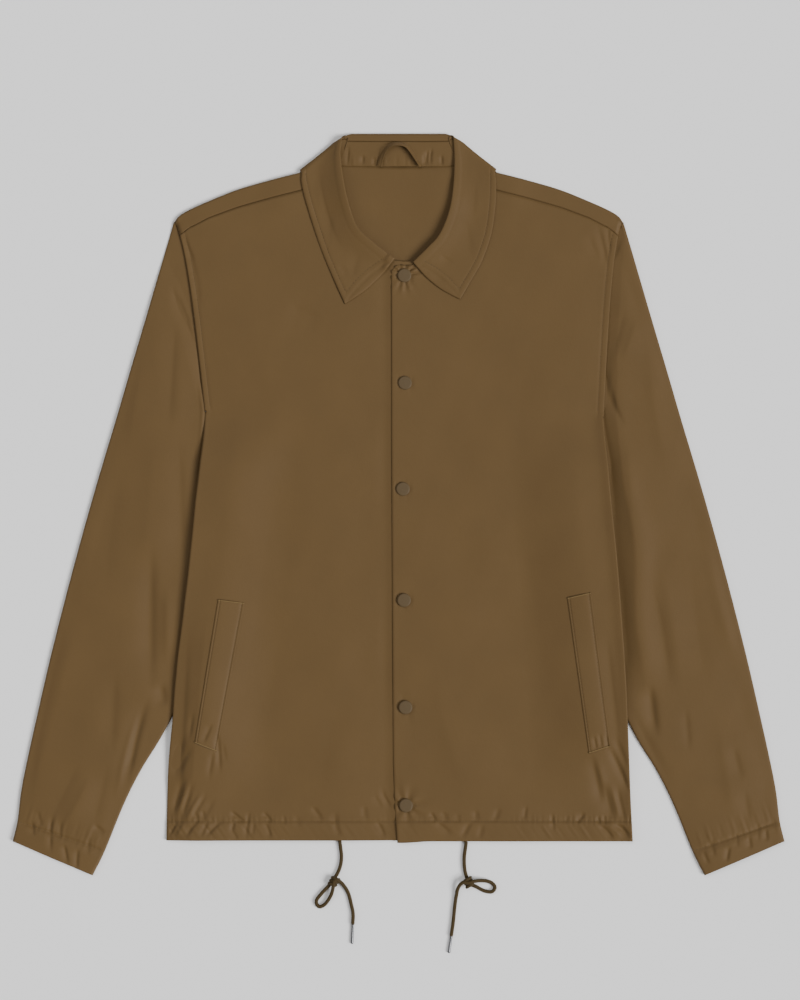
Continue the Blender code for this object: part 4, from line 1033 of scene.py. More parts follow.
def side_radius(side, y):
    """Reach of the side fold's round edge, which is pressed sharper on the wearer's left."""
    share = 0.5 if side < 0 else 0.24
    return share * (EDGE_LOFT + TUNNEL_SWELL * tunnel(y))


def side_seam(side, y):
    """Distance from the side fold to the side seam on the underside."""
    return 3.2 + SIDE_SEAM_TURN * ease((UNDERARM[side][1] - y) / 70.0)


def front_rails(side):
    """Middle and outer ends of a front's rows from the hem up, and how many rows fold over."""
    hem = HEM_RIGHT if side < 0 else HEM_LEFT
    under = UNDERARM[side]
    low = np.arange(hem, hem + 46.0, 1.15)
    body = np.linspace(low[-1] + 2.0, under[1], 112)
    y = np.concatenate([low, body])
    middle_x = np.full_like(y, UNDERLAP_EDGE) if side < 0 else by_first(PLACKET, y)[:, 1]
    middle = np.stack([middle_x, y], axis=1)
    outer = np.stack([edge_out(side, y), y], axis=1)
    folded = len(y)
    neck = np.array(NECK[side]) * (side, 1.0)
    share = np.linspace(0.0, 1.0, 46)[1:]
    rise = np.stack([
        np.full_like(share, middle_x[-1]) + (neck[0, 0] - middle_x[-1]) * share,
        under[1] + (neck[0, 1] - under[1]) * share,
    ], axis=1)
    hole = armhole(side, 1.0 + (NECK_BASE_AT - 1.0) * share)
    middle, outer = np.concatenate([middle, rise]), np.concatenate([outer, hole])
    share = np.linspace(0.0, 1.0, NECK_ROWS + 1)[1:]
    line = spline(neck, share * (len(neck) - 1))
    hole = armhole(side, NECK_BASE_AT + (SHOULDER_SEAM_AT - NECK_BASE_AT) * share)
    return np.concatenate([middle, line]), np.concatenate([outer, hole]), folded


def front_grid(side):
    """A front's top cloth, its rows run from the middle edge to the side fold or armhole."""
    middle, outer, folded = front_rails(side)
    y_out = outer[:, 1]
    inset = np.where(np.arange(len(outer)) < folded, side_radius(side, y_out), 0.0)
    ends = np.stack([side * (outer[:, 0] - inset), y_out], axis=1)
    u = np.concatenate([
        np.arange(0.0, 5.0, 0.8), np.arange(5.0, 45.0, 1.35), np.arange(45.0, 120.0, 2.1),
        np.arange(120.0, 234.0, 1.25), np.linspace(234.0, 240.0, 9),
    ]) / 240.0
    plan = middle[:, None] + (ends - middle)[:, None] * u[None, :, None]
    x, y = plan[..., 0], plan[..., 1]
    share = np.concatenate([
        np.zeros(len(middle) - NECK_ROWS), np.linspace(0.0, 1.0, NECK_ROWS + 1)[1:],
    ])
    last = middle[-1] + (ends[-1] - middle[-1]) * u[:, None]
    lift = shoulder_seam(side, np.abs(last[:, 0])) - last[:, 1] - SEAM_GAP
    y = y + share[:, None] ** 2 * lift[None]
    if side > 0:
        drop = np.clip(1.0 - (y - HEM_LEFT) / 20.0, 0.0, 1.0)
        y = y - 1.6 * ease((34.0 - x) / 30.0) * drop
    return x, y, folded


class JACKET_OT_fronts(bpy.types.Operator):
    """The two fronts, each with its turn round the side to the side seam."""

    bl_idname = "jacket.fronts"
    bl_label = "Fronts"

    def execute(self, context):
        wall = context.scene.jacket_sizes.cloth
        for side, hand in ((-1, "right"), (1, "left")):
            x, y, folded = front_grid(side)
            top = np.stack([x, y, body_top(side, x, y, side)], axis=-1)
            grids = [(top, False), (self.wrap(side, top[:folded, -1]), False)]
            obj = cloth_piece(f"front_cloth_{hand}", grids, f"front_{hand}", wall, merge=SEAM_MERGE)
        return {"FINISHED"}

    def wrap(self, side, tangent):
        """The turn round the side fold: half an ellipse, then flat to the side seam."""
        y = tangent[:, 1]
        wide = side_radius(side, y)
        low = base(side, tangent[:, 0], y)
        tall = 0.5 * (tangent[:, 2] - low)
        turn = np.radians(np.linspace(90.0, -90.0, 11))
        edge = np.abs(tangent[:, 0]) + wide
        x = edge[:, None] - wide[:, None] * (1.0 - np.cos(turn))
        z = low[:, None] + tall[:, None] * (1.0 + np.sin(turn))
        far = edge - side_seam(side, y) - 0.1
        flat = x[:, -1:] + (far[:, None] - x[:, -1:]) * np.linspace(0.0, 1.0, 6)[1:]
        flat_z = base(side, flat, y[:, None])
        x, z = np.concatenate([x, flat], axis=1), np.concatenate([z, flat_z], axis=1)
        grid = np.stack([side * x, np.broadcast_to(y[:, None], x.shape), z], axis=-1)
        grid[:, 0] = tangent
        return grid


# Back


def shoulder_fold(out, inset):
    """Points in the plan set in square from the shoulder fold."""
    point = by_first(SHOULDER, out)
    step = by_first(SHOULDER, out + 0.5) - by_first(SHOULDER, out - 0.5)
    step = unit(step)
    square = np.stack([step[..., 1], -step[..., 0]], axis=-1)
    square = np.where((out <= SHOULDER[0][0])[..., None], np.array((0.0, -1.0)), square)
    tip = ease((out - SHOULDER[-1][0] + 6.0) / 6.0)[..., None]
    square = unit(square * (1.0 - tip) - np.array(TIP_TURN) * tip)
    return point + square * inset[..., None]


class JACKET_OT_back(bpy.types.Operator):
    """The back, flat on the floor, with its turn over the shoulders to the seam in front."""

    bl_idname = "jacket.back"
    bl_label = "Back"

    def execute(self, context):
        grids = []
        for side in (-1, 1):
            shoulder = np.linspace(0.0, 1.0, SHOULDER_COLUMNS)
            grids.append((self.wrap(side, shoulder), False))
            grids.append((self.under(side, shoulder), False))
        wall = context.scene.jacket_sizes.cloth
        obj = cloth_piece("back_cloth", grids, "back_panel", wall, merge=SEAM_MERGE)
        return {"FINISHED"}

    def under(self, side, shoulder):
        """The flat underside: rows from the hem to the neck and the shoulder fold."""
        under = UNDERARM[side]
        start = 200.0
        u = runs((0.0, NECK_SHARE, NECK_COLUMNS), (NECK_SHARE, 1.0, SHOULDER_COLUMNS))
        middle = 0.5 * (UNDERARM[1][1] + UNDERARM[-1][1])
        low = np.linspace(HEM_RIGHT, middle, 90)
        y = low[:, None] + (under[1] - middle) * (u[None] * ease((low + 40.0) / 120.0)[:, None])
        half = edge_out(side, y[:, -1]) - side_seam(side, y[:, -1]) - SEAM_GAP - 0.1
        x = half[:, None] * u[None]
        rise = np.linspace(0.0, 1.0, 24)[1:]
        y2 = y[-1][None] + (start - y[-1])[None] * rise[:, None]
        x2 = edge_out(side, y2[:, -1])[:, None] * u[None]
        out = SHOULDER[0][0] + (SHOULDER[-1][0] - SHOULDER[0][0]) * shoulder
        fold = shoulder_fold(out, np.full_like(out, 0.5 * EDGE_LOFT))
        neck = np.linspace((0.0, BACK_NECK), fold[0], NECK_COLUMNS)[:-1]
        top = np.concatenate([neck, fold])
        share = np.linspace(0.0, 1.0, 40)[1:]
        low_end = np.stack([x2[-1], np.full_like(u, start)], axis=1)
        rows = low_end[None] + (top - low_end)[None] * share[:, None, None]
        t_start = (SHOULDER_TIP[1] - start) / (SHOULDER_TIP[1] - under[1])
        hole = armhole(side, t_start * (1.0 - share))
        pull = (hole - rows[:, -1]) * (1.0 - ease((share - 0.9) / 0.1))[:, None]
        rows = rows + pull[:, None] * (u ** 6)[None, :, None]
        x = np.concatenate([x, x2, rows[..., 0]])
        y = np.concatenate([y, y2, rows[..., 1]])
        relief = 0.35 * (swell(x, y) + 0.6) * ease((y - 150.0) / 60.0)
        z = base(side, x, y) + np.maximum(relief, 0.0) * ease((x + 4.0) / 8.0)
        if side > 0:
            hollow = near_neck(y) * ease(x / 46.0) * ease((61.0 - x) / 7.0)
            z = z + 1.4 * hollow * ease((350.0 - y) / 8.0)
        z[-1] = base(side, x[-1], y[-1])
        return np.stack([side * x, y, z], axis=-1)

    def wrap(self, side, shoulder):
        """The turn over the shoulder: half an ellipse, then the top cloth to the seam."""
        out = SHOULDER[0][0] + (SHOULDER[-1][0] - SHOULDER[0][0]) * shoulder
        radius = 0.5 * EDGE_LOFT
        deep = shoulder_fold(out, np.full_like(out, radius))
        low = base(side, side * deep[:, 0], deep[:, 1])
        top = body_top(side, side * deep[:, 0], deep[:, 1], 0)
        tall = 0.5 * (top - low)
        turn = np.radians(np.linspace(-90.0, 90.0, 11))
        rows = []
        for angle in turn:
            plan = shoulder_fold(out, np.full_like(out, radius * (1.0 - math.cos(angle))))
            high = low + tall * (1.0 + math.sin(angle))
            rows.append(np.column_stack([side * plan[:, 0], plan[:, 1], high]))
        end = armhole(side, np.array(SHOULDER_SEAM_AT))
        seam_out = SHOULDER_SEAM[0][0] + (end[0] - SHOULDER_SEAM[0][0]) * shoulder
        seam = np.column_stack([seam_out, shoulder_seam(side, seam_out)])
        for share in np.linspace(0.0, 1.0, 12)[1:]:
            plan = deep + (seam - deep) * share
            hole = armhole(side, np.array(SHOULDER_SEAM_AT * share))
            plan = plan + (hole - plan[-1]) * (shoulder ** 12)[:, None]
            x = side * plan[:, 0]
            z = body_top(side, x, plan[:, 1], 0)
            rows.append(np.column_stack([x, plan[:, 1], z]))
        return np.array(rows)


# Sleeves


def sleeve_rung(side, at):
    """Outer and inner fold of the sleeve, out and up, at places along it."""
    row = spline(SLEEVE, at)
    inner = row[..., 2:4].copy()
    if side > 0:
        inner[..., 0] += row[..., 4]
    low = UNDERARM[side][1] - inner[..., 1]
    under = 1.8 * ease((low + 14.0) / 22.0) + 1.3 * bell(low - 18.0, 24.0)
    beside = edge_out(side, inner[..., 1]) - 0.35 - under
    near = inner[..., 1] > 20.0
    inner[..., 0] = np.where(near, np.minimum(inner[..., 0], beside), inner[..., 0])
    return row[..., 0:2], inner


def fold_normals(side, at):
    """Unit steps out of the sleeve at its outer and inner folds."""
    last = len(SLEEVE) - 1.0
    before, after = np.maximum(at - 0.1, 0.0), np.minimum(at + 0.1, last)
    normals = []
    for which in (0, 1):
        step = unit(sleeve_rung(side, after)[which] - sleeve_rung(side, before)[which])
        if which == 1:
            normals.append(np.stack([step[..., 1], -step[..., 0]], axis=-1))
            continue
        square = np.stack([-step[..., 1], step[..., 0]], axis=-1)
        near = np.minimum(at, 1.0)[..., None]
        normals.append(unit(np.array(TIP_TURN) * (1.0 - near) + square * near))
    return normals


def sleeve_top(side, at, t, x, y):
    """Height of the sleeve's top cloth: loft, crown, cuff swell, creases and the body's groove."""
    depth = bpy.context.scene.jacket_sizes.crease
    cuff = ease((at - CUFF_STITCH) / 0.25)
    crown = (SLEEVE_LOFT - EDGE_LOFT) * 4.0 * t * (1.0 - t) * ease(at / 1.2)
    inner = ease(8.0 * t) * ease(8.0 * (1.0 - t))
    total = 1.35 * crease(SLEEVE_CREASES, x, y) + swell(x + 37.0, y)
    total += 1.5 * crease(CUFF_CREASES, x, y)
    outer, fold = sleeve_rung(side, np.array(CUFF_STITCH))
    line = unit(fold - outer)
    off = (np.abs(x) - outer[0]) * line[1] - (y - outer[1]) * line[0]
    along = (np.abs(x) - outer[0]) * line[0] + (y - outer[1]) * line[1]
    total += stitched(along, off, 0.95, 1.25, 6.0, 0.5)
    total += pucker(along, off - 9.0, 9.0, 9.0, 0.5)
    row = by_first(SLEEVE_GROOVE, y)
    gap = np.maximum(np.abs(x) - edge_out(side, y), 0.0)
    if side < 0:
        reach = row[..., 2] * np.where(gap < row[..., 2], 0.7, 3.6)
        dip = bell(gap - row[..., 2], reach)
        valley = 1.0 - ease(gap / 48.0)
        dip = dip + (valley - dip) * ease((y - 95.0) / 40.0)
        groove = row[..., 1] * bell(gap, 1.6) + row[..., 3] * dip
    else:
        groove = row[..., 4] * np.clip(1.0 - gap / row[..., 5], 0.0, 1.0) ** 1.1
        groove = groove - row[..., 6] * bell(gap / row[..., 5] - 1.25, 0.7)
    groove = groove * ease((8.6 - at) / 1.2)
    height = EDGE_LOFT + crown + TUNNEL_SWELL * cuff + depth * total * inner - groove
    return np.maximum(height, SLEEVE_LEAST)


class JACKET_OT_sleeves(bpy.types.Operator):
    """The two sleeves, each one flattened tube."""

    bl_idname = "jacket.sleeves"
    bl_label = "Sleeves"

    def execute(self, context):
        wall = context.scene.jacket_sizes.cloth
        for side, hand in ((-1, "right"), (1, "left")):
            tube = [(self.tube(side), True)]
            obj = cloth_piece(f"sleeve_cloth_{hand}", tube, f"sleeve_{hand}", wall)
        return {"FINISHED"}

    def tube(self, side):
        """Rings from the armhole to the cuff: outer fold, top, inner fold and underside."""
        at = runs((0.0, 1.0, 24), (1.0, 11.2, 176), (11.2, CUFF_END, 58))
        radius = 0.5 * (EDGE_LOFT + TUNNEL_SWELL * ease((at - CUFF_STITCH) / 0.25))
        outer_n, inner_n = fold_normals(side, at)
        outer, inner = sleeve_rung(side, at)
        near = np.maximum(1.0 - at, 0.0)[:, None]
        outer = outer - outer_n * radius[:, None] + near * np.array((SEAM_AT_ARMHOLE, 0.0))
        inner = inner - inner_n * radius[:, None]
        t_top = steps(150.0, 0.9, 2.3, 7.0)
        t_low = np.linspace(0.0, 1.0, 26)
        ring = []
        turn = np.radians(np.linspace(0.0, 90.0, 6))
        heights = [
            0.5 * sleeve_top(side, at, np.full_like(at, w), side * p[:, 0], p[:, 1])
            for w, p in ((0.0, outer), (1.0, inner))
        ]
        for angle in turn[:-1]:
            ring.append(self.fold(side, outer, outer_n, radius, heights[0], angle))
        x, y = self.across(side, at, outer, inner, radius, t_top, SLEEVE_TUCK)
        z = sleeve_top(side, at[:, None], t_top[None], side * x, y)
        ring += [np.column_stack([side * x[:, j], y[:, j], z[:, j]]) for j in range(len(t_top))]
        for angle in np.radians(np.linspace(90.0, -90.0, 11))[1:-1]:
            ring.append(self.fold(side, inner, inner_n, radius, heights[1], angle))
        x, y = self.across(side, at, outer, inner, radius, t_low, 0.0)
        for j in range(len(t_low) - 1, -1, -1):
            ring.append(np.column_stack([side * x[:, j], y[:, j], np.zeros(len(at))]))
        for angle in -turn[::-1][1:-1]:
            ring.append(self.fold(side, outer, outer_n, radius, heights[0], angle))
        return np.stack(ring, axis=1)

    def fold(self, side, line, normal, radius, tall, angle):
        """Points at an angle round a fold: an ellipse of the fold's radius and half height."""
        out = (radius * math.cos(angle))[:, None]
        plan = line + normal * out
        return np.column_stack([side * plan[:, 0], plan[:, 1], tall * (1.0 + math.sin(angle))])

    def across(self, side, at, outer, inner, radius, t, tuck):
        """Points in the plan across the sleeve, bowed like the armhole near it.

        tuck is how far the sleeve's top goes under the body's edge at the seam.
        """
        span = inner - outer
        far = np.linalg.norm(span, axis=1)
        step = span / far[:, None]
        along = (radius[:, None] + far[:, None] * t[None]) / (far + 2.0 * radius)[:, None]
        bow = ARMHOLE_BOW * np.sin(np.pi * along ** ARMHOLE_EASE)
        bow = bow * np.maximum(0.0, 1.0 - at / 2.0)[:, None]
        plan = outer[:, None] + span[:, None] * t[None, :, None]
        square = np.stack([step[:, 1], -step[:, 0]], axis=1)
        plan = plan + bow[..., None] * square[:, None]
        under = tuck * ease(t / 0.05) * ease((1.0 - t) / 0.05)
        seam = armhole(side, t) + (SEAM_AT_ARMHOLE - under)[:, None] * np.array((1.0, 0.0))
        pull = (seam - plan[0]) * (ease(t / 0.02) * ease((1.0 - t) / 0.02))[:, None]
        plan = plan + np.maximum(1.0 - at, 0.0)[:, None, None] * pull[None]
        return plan[..., 0], plan[..., 1]


# Collar


def cover(x, y):
    """Height of the top cloth that the collar leaf lies on."""
    right = np.where(x < 14.0, plain_top(-1, x, y, -1), 0.0)
    left = np.where(x > -14.0, plain_top(1, x, y, 1), 0.0)
    return np.maximum(right, left)


def leaf_controls(table, at, side):
    """Control points of the leaf's sections, seam over the roll to the free edge.

    Each section's points lie at distances from the roll towards the free edge. Where the collar
    turns to the back, the points above are blended into those below by the table's turn.
    """
    row = spline(table + (COLLAR_MIDDLE,), at)
    roll, free, rise = row[:, 0:2], row[:, 2:4], row[:, 4]
    turn = np.clip(row[:, 5], 0.0, 1.0)
    edge = unit(free - roll)
    wide = np.linalg.norm(free - roll, axis=1)
    ground = LEAF_CLEAR + COLLAR_WALL
    start = roll + 0.1 * (free - roll)
    top = cover(start[:, 0], start[:, 1]) + ground + rise
    hump = 4.0 * turn * (1.0 - turn)
    to_neck = unit(row[:, 6:8] - roll)
    strip = edge + (to_neck - edge) * turn[:, None]
    square = side * np.stack([edge[:, 1], -edge[:, 0]], axis=1)
    strip = unit(strip + (CORNER_SWING * hump)[:, None] * square)
    deep = ROLL_DEPTH + CORNER_DEPTH * ease(at - 5.0)
    above = (
        (1.9, top - deep), (0.45, top - 0.8 * deep), (0.0, top - 0.38 * deep), (0.9, top - 0.05 * deep),
        (5.5, top - 0.15 * rise), (12.0, 0.5), (21.0, 0.16), (0.6 * wide, 0.0), (0.82 * wide, 0.0),
        (wide, 0.0),
    )
    below = (
        (SEAM_BELOW_ROLL, STAND_TOP), (4.5, STAND_TOP + 0.1), (1.2, STAND_TOP - 0.3), (0.0, 2.3),
        (1.2, 0.45), (5.0, 0.0), (16.0, 0.0), (0.6 * wide, 0.0), (0.82 * wide, 0.0), (wide, 0.0),
    )
    apart = (-0.4, -0.4, 0.4, 1.0, 1.0, 0.5, 0.2, 0.0, 0.0, 0.0)
    points = []
    for k, (over, under) in enumerate(zip(above, below)):
        d = over[0] + (under[0] - over[0]) * turn
        bow = LEAF_TIP_BOW * np.maximum(0.0, 1.0 - at) * np.sin(np.pi * np.minimum(1.0, d / wide))
        bow = bow - CORNER_SPREAD * hump * apart[k]
        way = strip if k < 3 else edge
        plan = roll + way * d[:, None] + square * bow[:, None]
        high = over[1] if k < 5 else cover(plan[:, 0], plan[:, 1]) + ground + over[1] * rise
        points.append(np.column_stack([plan, high + (under[1] - high) * turn]))
    return np.stack(points, axis=1), row, turn


def leaf_grid(table, at, side):
    """The leaf's surface: a spline through each section's points, with its relief."""
    controls, row, turn = leaf_controls(table, at, side)
    k = runs((0.0, 4.0, 17), (4.0, 8.0, 22), (8.0, 9.0, 16))
    across = spline(np.moveaxis(controls, 1, 0).reshape(controls.shape[1], -1), k)
    grid = np.moveaxis(across.reshape(len(k), len(at), 3), 0, 1).copy()
    x, y = grid[..., 0], grid[..., 1]
    up = (1.0 - turn)[:, None] * ease((k - 4.0) / 1.0)[None]
    to_free, to_front = leaf_edges(table, x, y, row)
    nearest = np.minimum(to_free, to_front)
    run = np.where(to_free < to_front, y, x) * 1.2
    relief = crease(LEAF_CREASES, x, y) + stitched(run, nearest - STITCH_INSET, 0.24, 0.9, 5.0, 0.2)
    drop = 0.55 if side < 0 else 0.15
    relief += 0.12 * bell(nearest - 3.0, 2.4) - drop * bell(nearest, 1.0)
    relief += 0.35 * swell(1.6 * x, 1.6 * y)
    roll_off = np.linalg.norm(grid[..., :2] - row[:, None, 0:2], axis=-1)
    relief += pucker(y * 0.9 + x * 0.4, roll_off - 6.0, 4.0, 9.0, 0.14)
    relief -= 0.35 * bell(roll_off - 8.0, 1.6)
    grid[..., 2] += up * relief
    past = np.maximum(np.abs(grid[..., 0]) - COLLAR_CORNER, 0.0)
    outline = COLLAR_TOP - 0.62 * past ** 2 / (past + 7.0)
    grid[..., 1] = np.minimum(grid[..., 1], outline)
    return grid


def leaf_edges(table, x, y, row):
    """Distances in the plan from the leaf's free edge and from its front edge."""
    wide = np.linalg.norm(row[:, 2:4] - row[:, 0:2], axis=1)
    from_roll = np.hypot(x - row[:, None, 0], y - row[:, None, 1])
    first = np.array(table[0])
    edge = unit(first[2:4] - first[0:2])
    off = np.abs((x - first[0]) * edge[1] - (y - first[1]) * edge[0])
    run = (x - first[0]) * edge[0] + (y - first[1]) * edge[1]
    long = math.hypot(*(first[2:4] - first[0:2]))
    bow = LEAF_TIP_BOW * np.sin(np.pi * np.clip(run / long, 0.0, 1.0))
    return wide[:, None] - from_roll, np.abs(off - bow)


def stand_grid(table, at, side):
    """The stand's surface, ruled from the leaf's seam to the neck seam."""
    controls, row, turn = leaf_controls(table, at, side)
    seam, beside = controls[:, 0], controls[:, 1]
    start = seam + unit(seam - beside) * SEAM_GAP
    neck = row[:, 6:8]
    neck = neck + unit(row[:, 0:2] - neck) * (NECK_SET_IN * (1.0 - turn))[:, None]
    right, left = (plain_top(hand, neck[:, 0], neck[:, 1], hand) for hand in (-1, 1))
    over = np.where(neck[:, 0] < 0, right, left) - COLLAR_WALL
    under = base(side, neck[:, 0], neck[:, 1]) + COLLAR_WALL
    end = np.column_stack([neck, over + (under - over) * turn])
    v = np.linspace(0.0, 1.0, 20)
    grid = start[:, None] + (end - start)[:, None] * v[None, :, None]
    x, y = grid[..., 0], grid[..., 1]
    relief = 0.3 * swell(2.0 * x, 2.0 * y) + pucker(x, y - 352.0, 6.0, 8.0, 0.3)
    relief = relief + 1.6 * crease(STAND_CREASES, x, y) + 0.5 * np.sin(np.pi * v)[None]
    fade = ease(v / 0.1) * ease((1.0 - v) / 0.1)
    grid[..., 2] += relief * turn[:, None] * fade[None]
    return grid


class JACKET_OT_collar(bpy.types.Operator):
    """The collar leaf, the stand inside it and the hanger loop."""

    bl_idname = "jacket.collar"
    bl_label = "Collar"

    def execute(self, context):
        at = runs((0.0, 1.0, 20), (1.0, 6.0, 74), (6.0, 10.0, 37), (10.0, 12.0, 58))
        wall = context.scene.jacket_sizes.cloth
        leaf, stand = [], []
        for table, side in ((COLLAR_RIGHT, -1), (COLLAR_LEFT, 1)):
            leaf.append((leaf_grid(table, at, side), False))
            stand.append((stand_grid(table, at, side), False))
        obj = cloth_piece("collar_cloth", leaf, "collar_leaf", 1.5 * wall, merge=SEAM_MERGE)
        inner = cloth_piece("stand_cloth", stand, "collar_stand", wall, False, SEAM_MERGE)
        self.loop()
        return {"FINISHED"}

    def loop(self):
        """The hanger loop: a flattened tube of tape, carried along an arch."""
        path = spline(LOOP, np.linspace(0.0, len(LOOP) - 1.0, 90))
        way = unit(np.gradient(path[:, :2], axis=0))
        normal = np.stack([-way[:, 1], way[:, 0]], axis=1)
        angle = full_turn(28)
        across = 0.5 * np.cos(angle) * LOOP_WIDTH
        share = path[:, 3:]
        x = path[:, :1] + normal[:, :1] * across * share
        y = path[:, 1:2] + normal[:, 1:] * across * share
        ride = (STAND_TOP - COLLAR_LIFT - 1.0) / 26.0 * (y - BACK_NECK)
        stand = np.sqrt(np.maximum(0.0, 1.0 - share ** 2))
        z = COLLAR_LIFT + 2.0 + np.maximum(0.0, ride) + path[:, 2:3]
        z = z + stand * (0.5 * LOOP_WIDTH - across)
        fold = -0.3 * bell(across / LOOP_WIDTH + 0.12, 0.06) * (np.sin(angle) > 0.0)
        z = z + 0.5 * np.sign(np.sin(angle)) * np.abs(np.sin(angle)) ** 0.6 + fold
        tube = [(np.stack([x, y, z], axis=-1), True)]
        obj = cloth_piece("loop_tape", tube, "hanger_loop", up=False, merge=0.0)


# Pockets


def welt_columns():
    """Places across a welt, from its inner edge at 0 to its outer one at 1."""
    return steps(WELT_WIDE, 0.35, 1.0, 4.0)


def welt_grid(side):
    """A welt's upper face: a ruled strip over the front, dropped at its edges and stitch lines."""
    inner_top, inner_low, outer_low, outer_top = (np.array(p) for p in WELTS[side])
    v = steps(WELT_LONG, 0.5, 1.7, 5.0)
    u = welt_columns()
    a = inner_top + (inner_low - inner_top) * v[:, None]
    b = outer_top + (outer_low - outer_top) * v[:, None]
    plan = a[:, None] + (b - a)[:, None] * u[None, :, None]
    x, y = plan[..., 0], plan[..., 1]
    from_inner, from_outer = WELT_WIDE * u[None], WELT_WIDE * (1.0 - u)[None]
    from_end = WELT_LONG * np.minimum(v, 1.0 - v)[:, None]
    run = WELT_LONG * v[:, None]
    z = body_top(side, x, y, side) + 0.85
    lit, dim = (from_inner, from_outer) if side < 0 else (from_outer, from_inner)
    z = z - 0.45 * (1.0 - np.clip(lit / 20.0, 0.0, 1.0)) - 0.4 * bell(dim, 0.7)
    near, far = (a, b) if side < 0 else (b, a)
    low, high = near[0] + 0.08 * (far[0] - near[0]), near[-1] + 0.08 * (far[-1] - near[-1])
    low, high = low - 0.4 * (high - low), high + 0.4 * (high - low)
    z = z + crease(((*low, *high, 0.8, -0.4, 0.0),), x, y)
    z = z - 0.7 * bell(from_end, 0.6) + stitched(run, dim - WELT_INSET, 0.3, 0.7, 5.0, 0.12)
    z = z + stitched(run, lit - WELT_INSET, 0.06, 0.7, 5.0, 0.1) + 0.12 * swell(3.0 * x, 1.5 * y)
    return np.stack([x, y, z], axis=-1)


class JACKET_OT_pockets(bpy.types.Operator):
    """The slanted pocket welts, with a bar of thread across each end."""

    bl_idname = "jacket.pockets"
    bl_label = "Pocket welts"

    def execute(self, context):
        for side, hand in ((-1, "right"), (1, "left")):
            grid = welt_grid(side)
            node = f"pocket_welt_{hand}"
            obj = cloth_piece(f"welt_cloth_{hand}", [(grid, False)], node, WELT_WALL * MM)
            for row, end in ((3, "upper"), (-4, "lower")):
                self.bar(grid[row], f"pocket_bar_{hand}_{end}")
        return {"FINISHED"}

    def bar(self, line, name):
        """Thread wound across the welt: a flat tube ribbed at each turn of the thread."""
        gap = 0.12
        path = even_path(line + np.array((0.0, 0.0, 0.35)), gap)
        _, side, up = frames_along(path)
        rib = (0.12 * np.abs(np.sin(math.pi * np.arange(len(path)) * gap / 0.5)))[:, None]
        tube = capped(round_path(path, side, up, 0.5 + rib, 0.28 + rib, full_turn(10)), path)
        piece(name, [(tube, True)], finish("pocket bar thread"), merge=POLE_MERGE)


# Snaps


class JACKET_OT_snaps(bpy.types.Operator):
    """The six snap caps down the placket."""

    bl_idname = "jacket.snaps"
    bl_label = "Snaps"

    def execute(self, context):
        sides = context.scene.jacket_sizes.snap_sides
        for number, (x, y) in enumerate(SNAPS, 1):
            floor = plain_top(1, np.array(x), np.array(y), 1) + 0.1
            at = np.linspace(0.0, len(SNAP_PROFILE) - 1.0, 49)
            line = spline(SNAP_PROFILE, at)
            angle = full_turn(sides)
            radius = np.clip(line[:, 0], 0.0, SNAP_RADIUS)
            grid = np.stack([
                x + radius[:, None] * np.cos(angle), y + radius[:, None] * np.sin(angle),
                np.broadcast_to(floor + line[:, 1:], (len(at), sides)),
            ], axis=-1)
            piece(
                f"snap_cap_{number}", [(grid, True)], finish("snap enamel"),
                (f"snap_{number}",), merge=POLE_MERGE,
            )
        return {"FINISHED"}


# Stitching


def stitches(name, path, pitch, thread=0.34):
    """Stitches along a path: each is a short tapered thread that sinks at both ends.

    One stitch is a spindle of four sides on five rings. Arrays place it at every pitch.
    """
    run = run_along(path)
    count = max(1, int(run[-1] / pitch))
    middle = (np.arange(count) + 0.5) * run[-1] / count
    long = 0.72 * run[-1] / count
    shape = np.array((-0.5, -0.34, 0.0, 0.34, 0.5))
    thick = np.array((0.25, 0.85, 1.0, 0.85, 0.25)) * 0.5 * thread
    at = middle[:, None] + shape[None] * long
    spots = np.stack([np.interp(at, run, path[:, k]) for k in range(3)], axis=-1)
    spots[..., 2] -= 0.3 * thread * (np.abs(shape) > 0.4)
    tangent = unit(spots[:, -1] - spots[:, 0])
    side = unit(np.cross(tangent, (0.0, 0.0, 1.0)))
    up = np.cross(side, tangent)
    angle = np.arange(4) * math.pi / 2
    ring = np.cos(angle)[None, :, None] * side[:, None] + np.sin(angle)[None, :, None] * up[:, None]
    points = spots[:, :, None] + thick[None, :, None, None] * ring[:, None]
    local = grid_quads(5, 4, 0, True)
    local = np.concatenate([local, np.array(((3, 2, 1, 0), (16, 17, 18, 19)))])
    quads = (local[None] + np.arange(count)[:, None, None] * 20).reshape(-1, 4)
    mesh = make_mesh(name, points.reshape(-1, 3), quads)
    face_out(mesh)
    # The thread's darker colour is painted shade of the grooves the stitches lie in.
    put(mesh, finish("topstitch thread"))


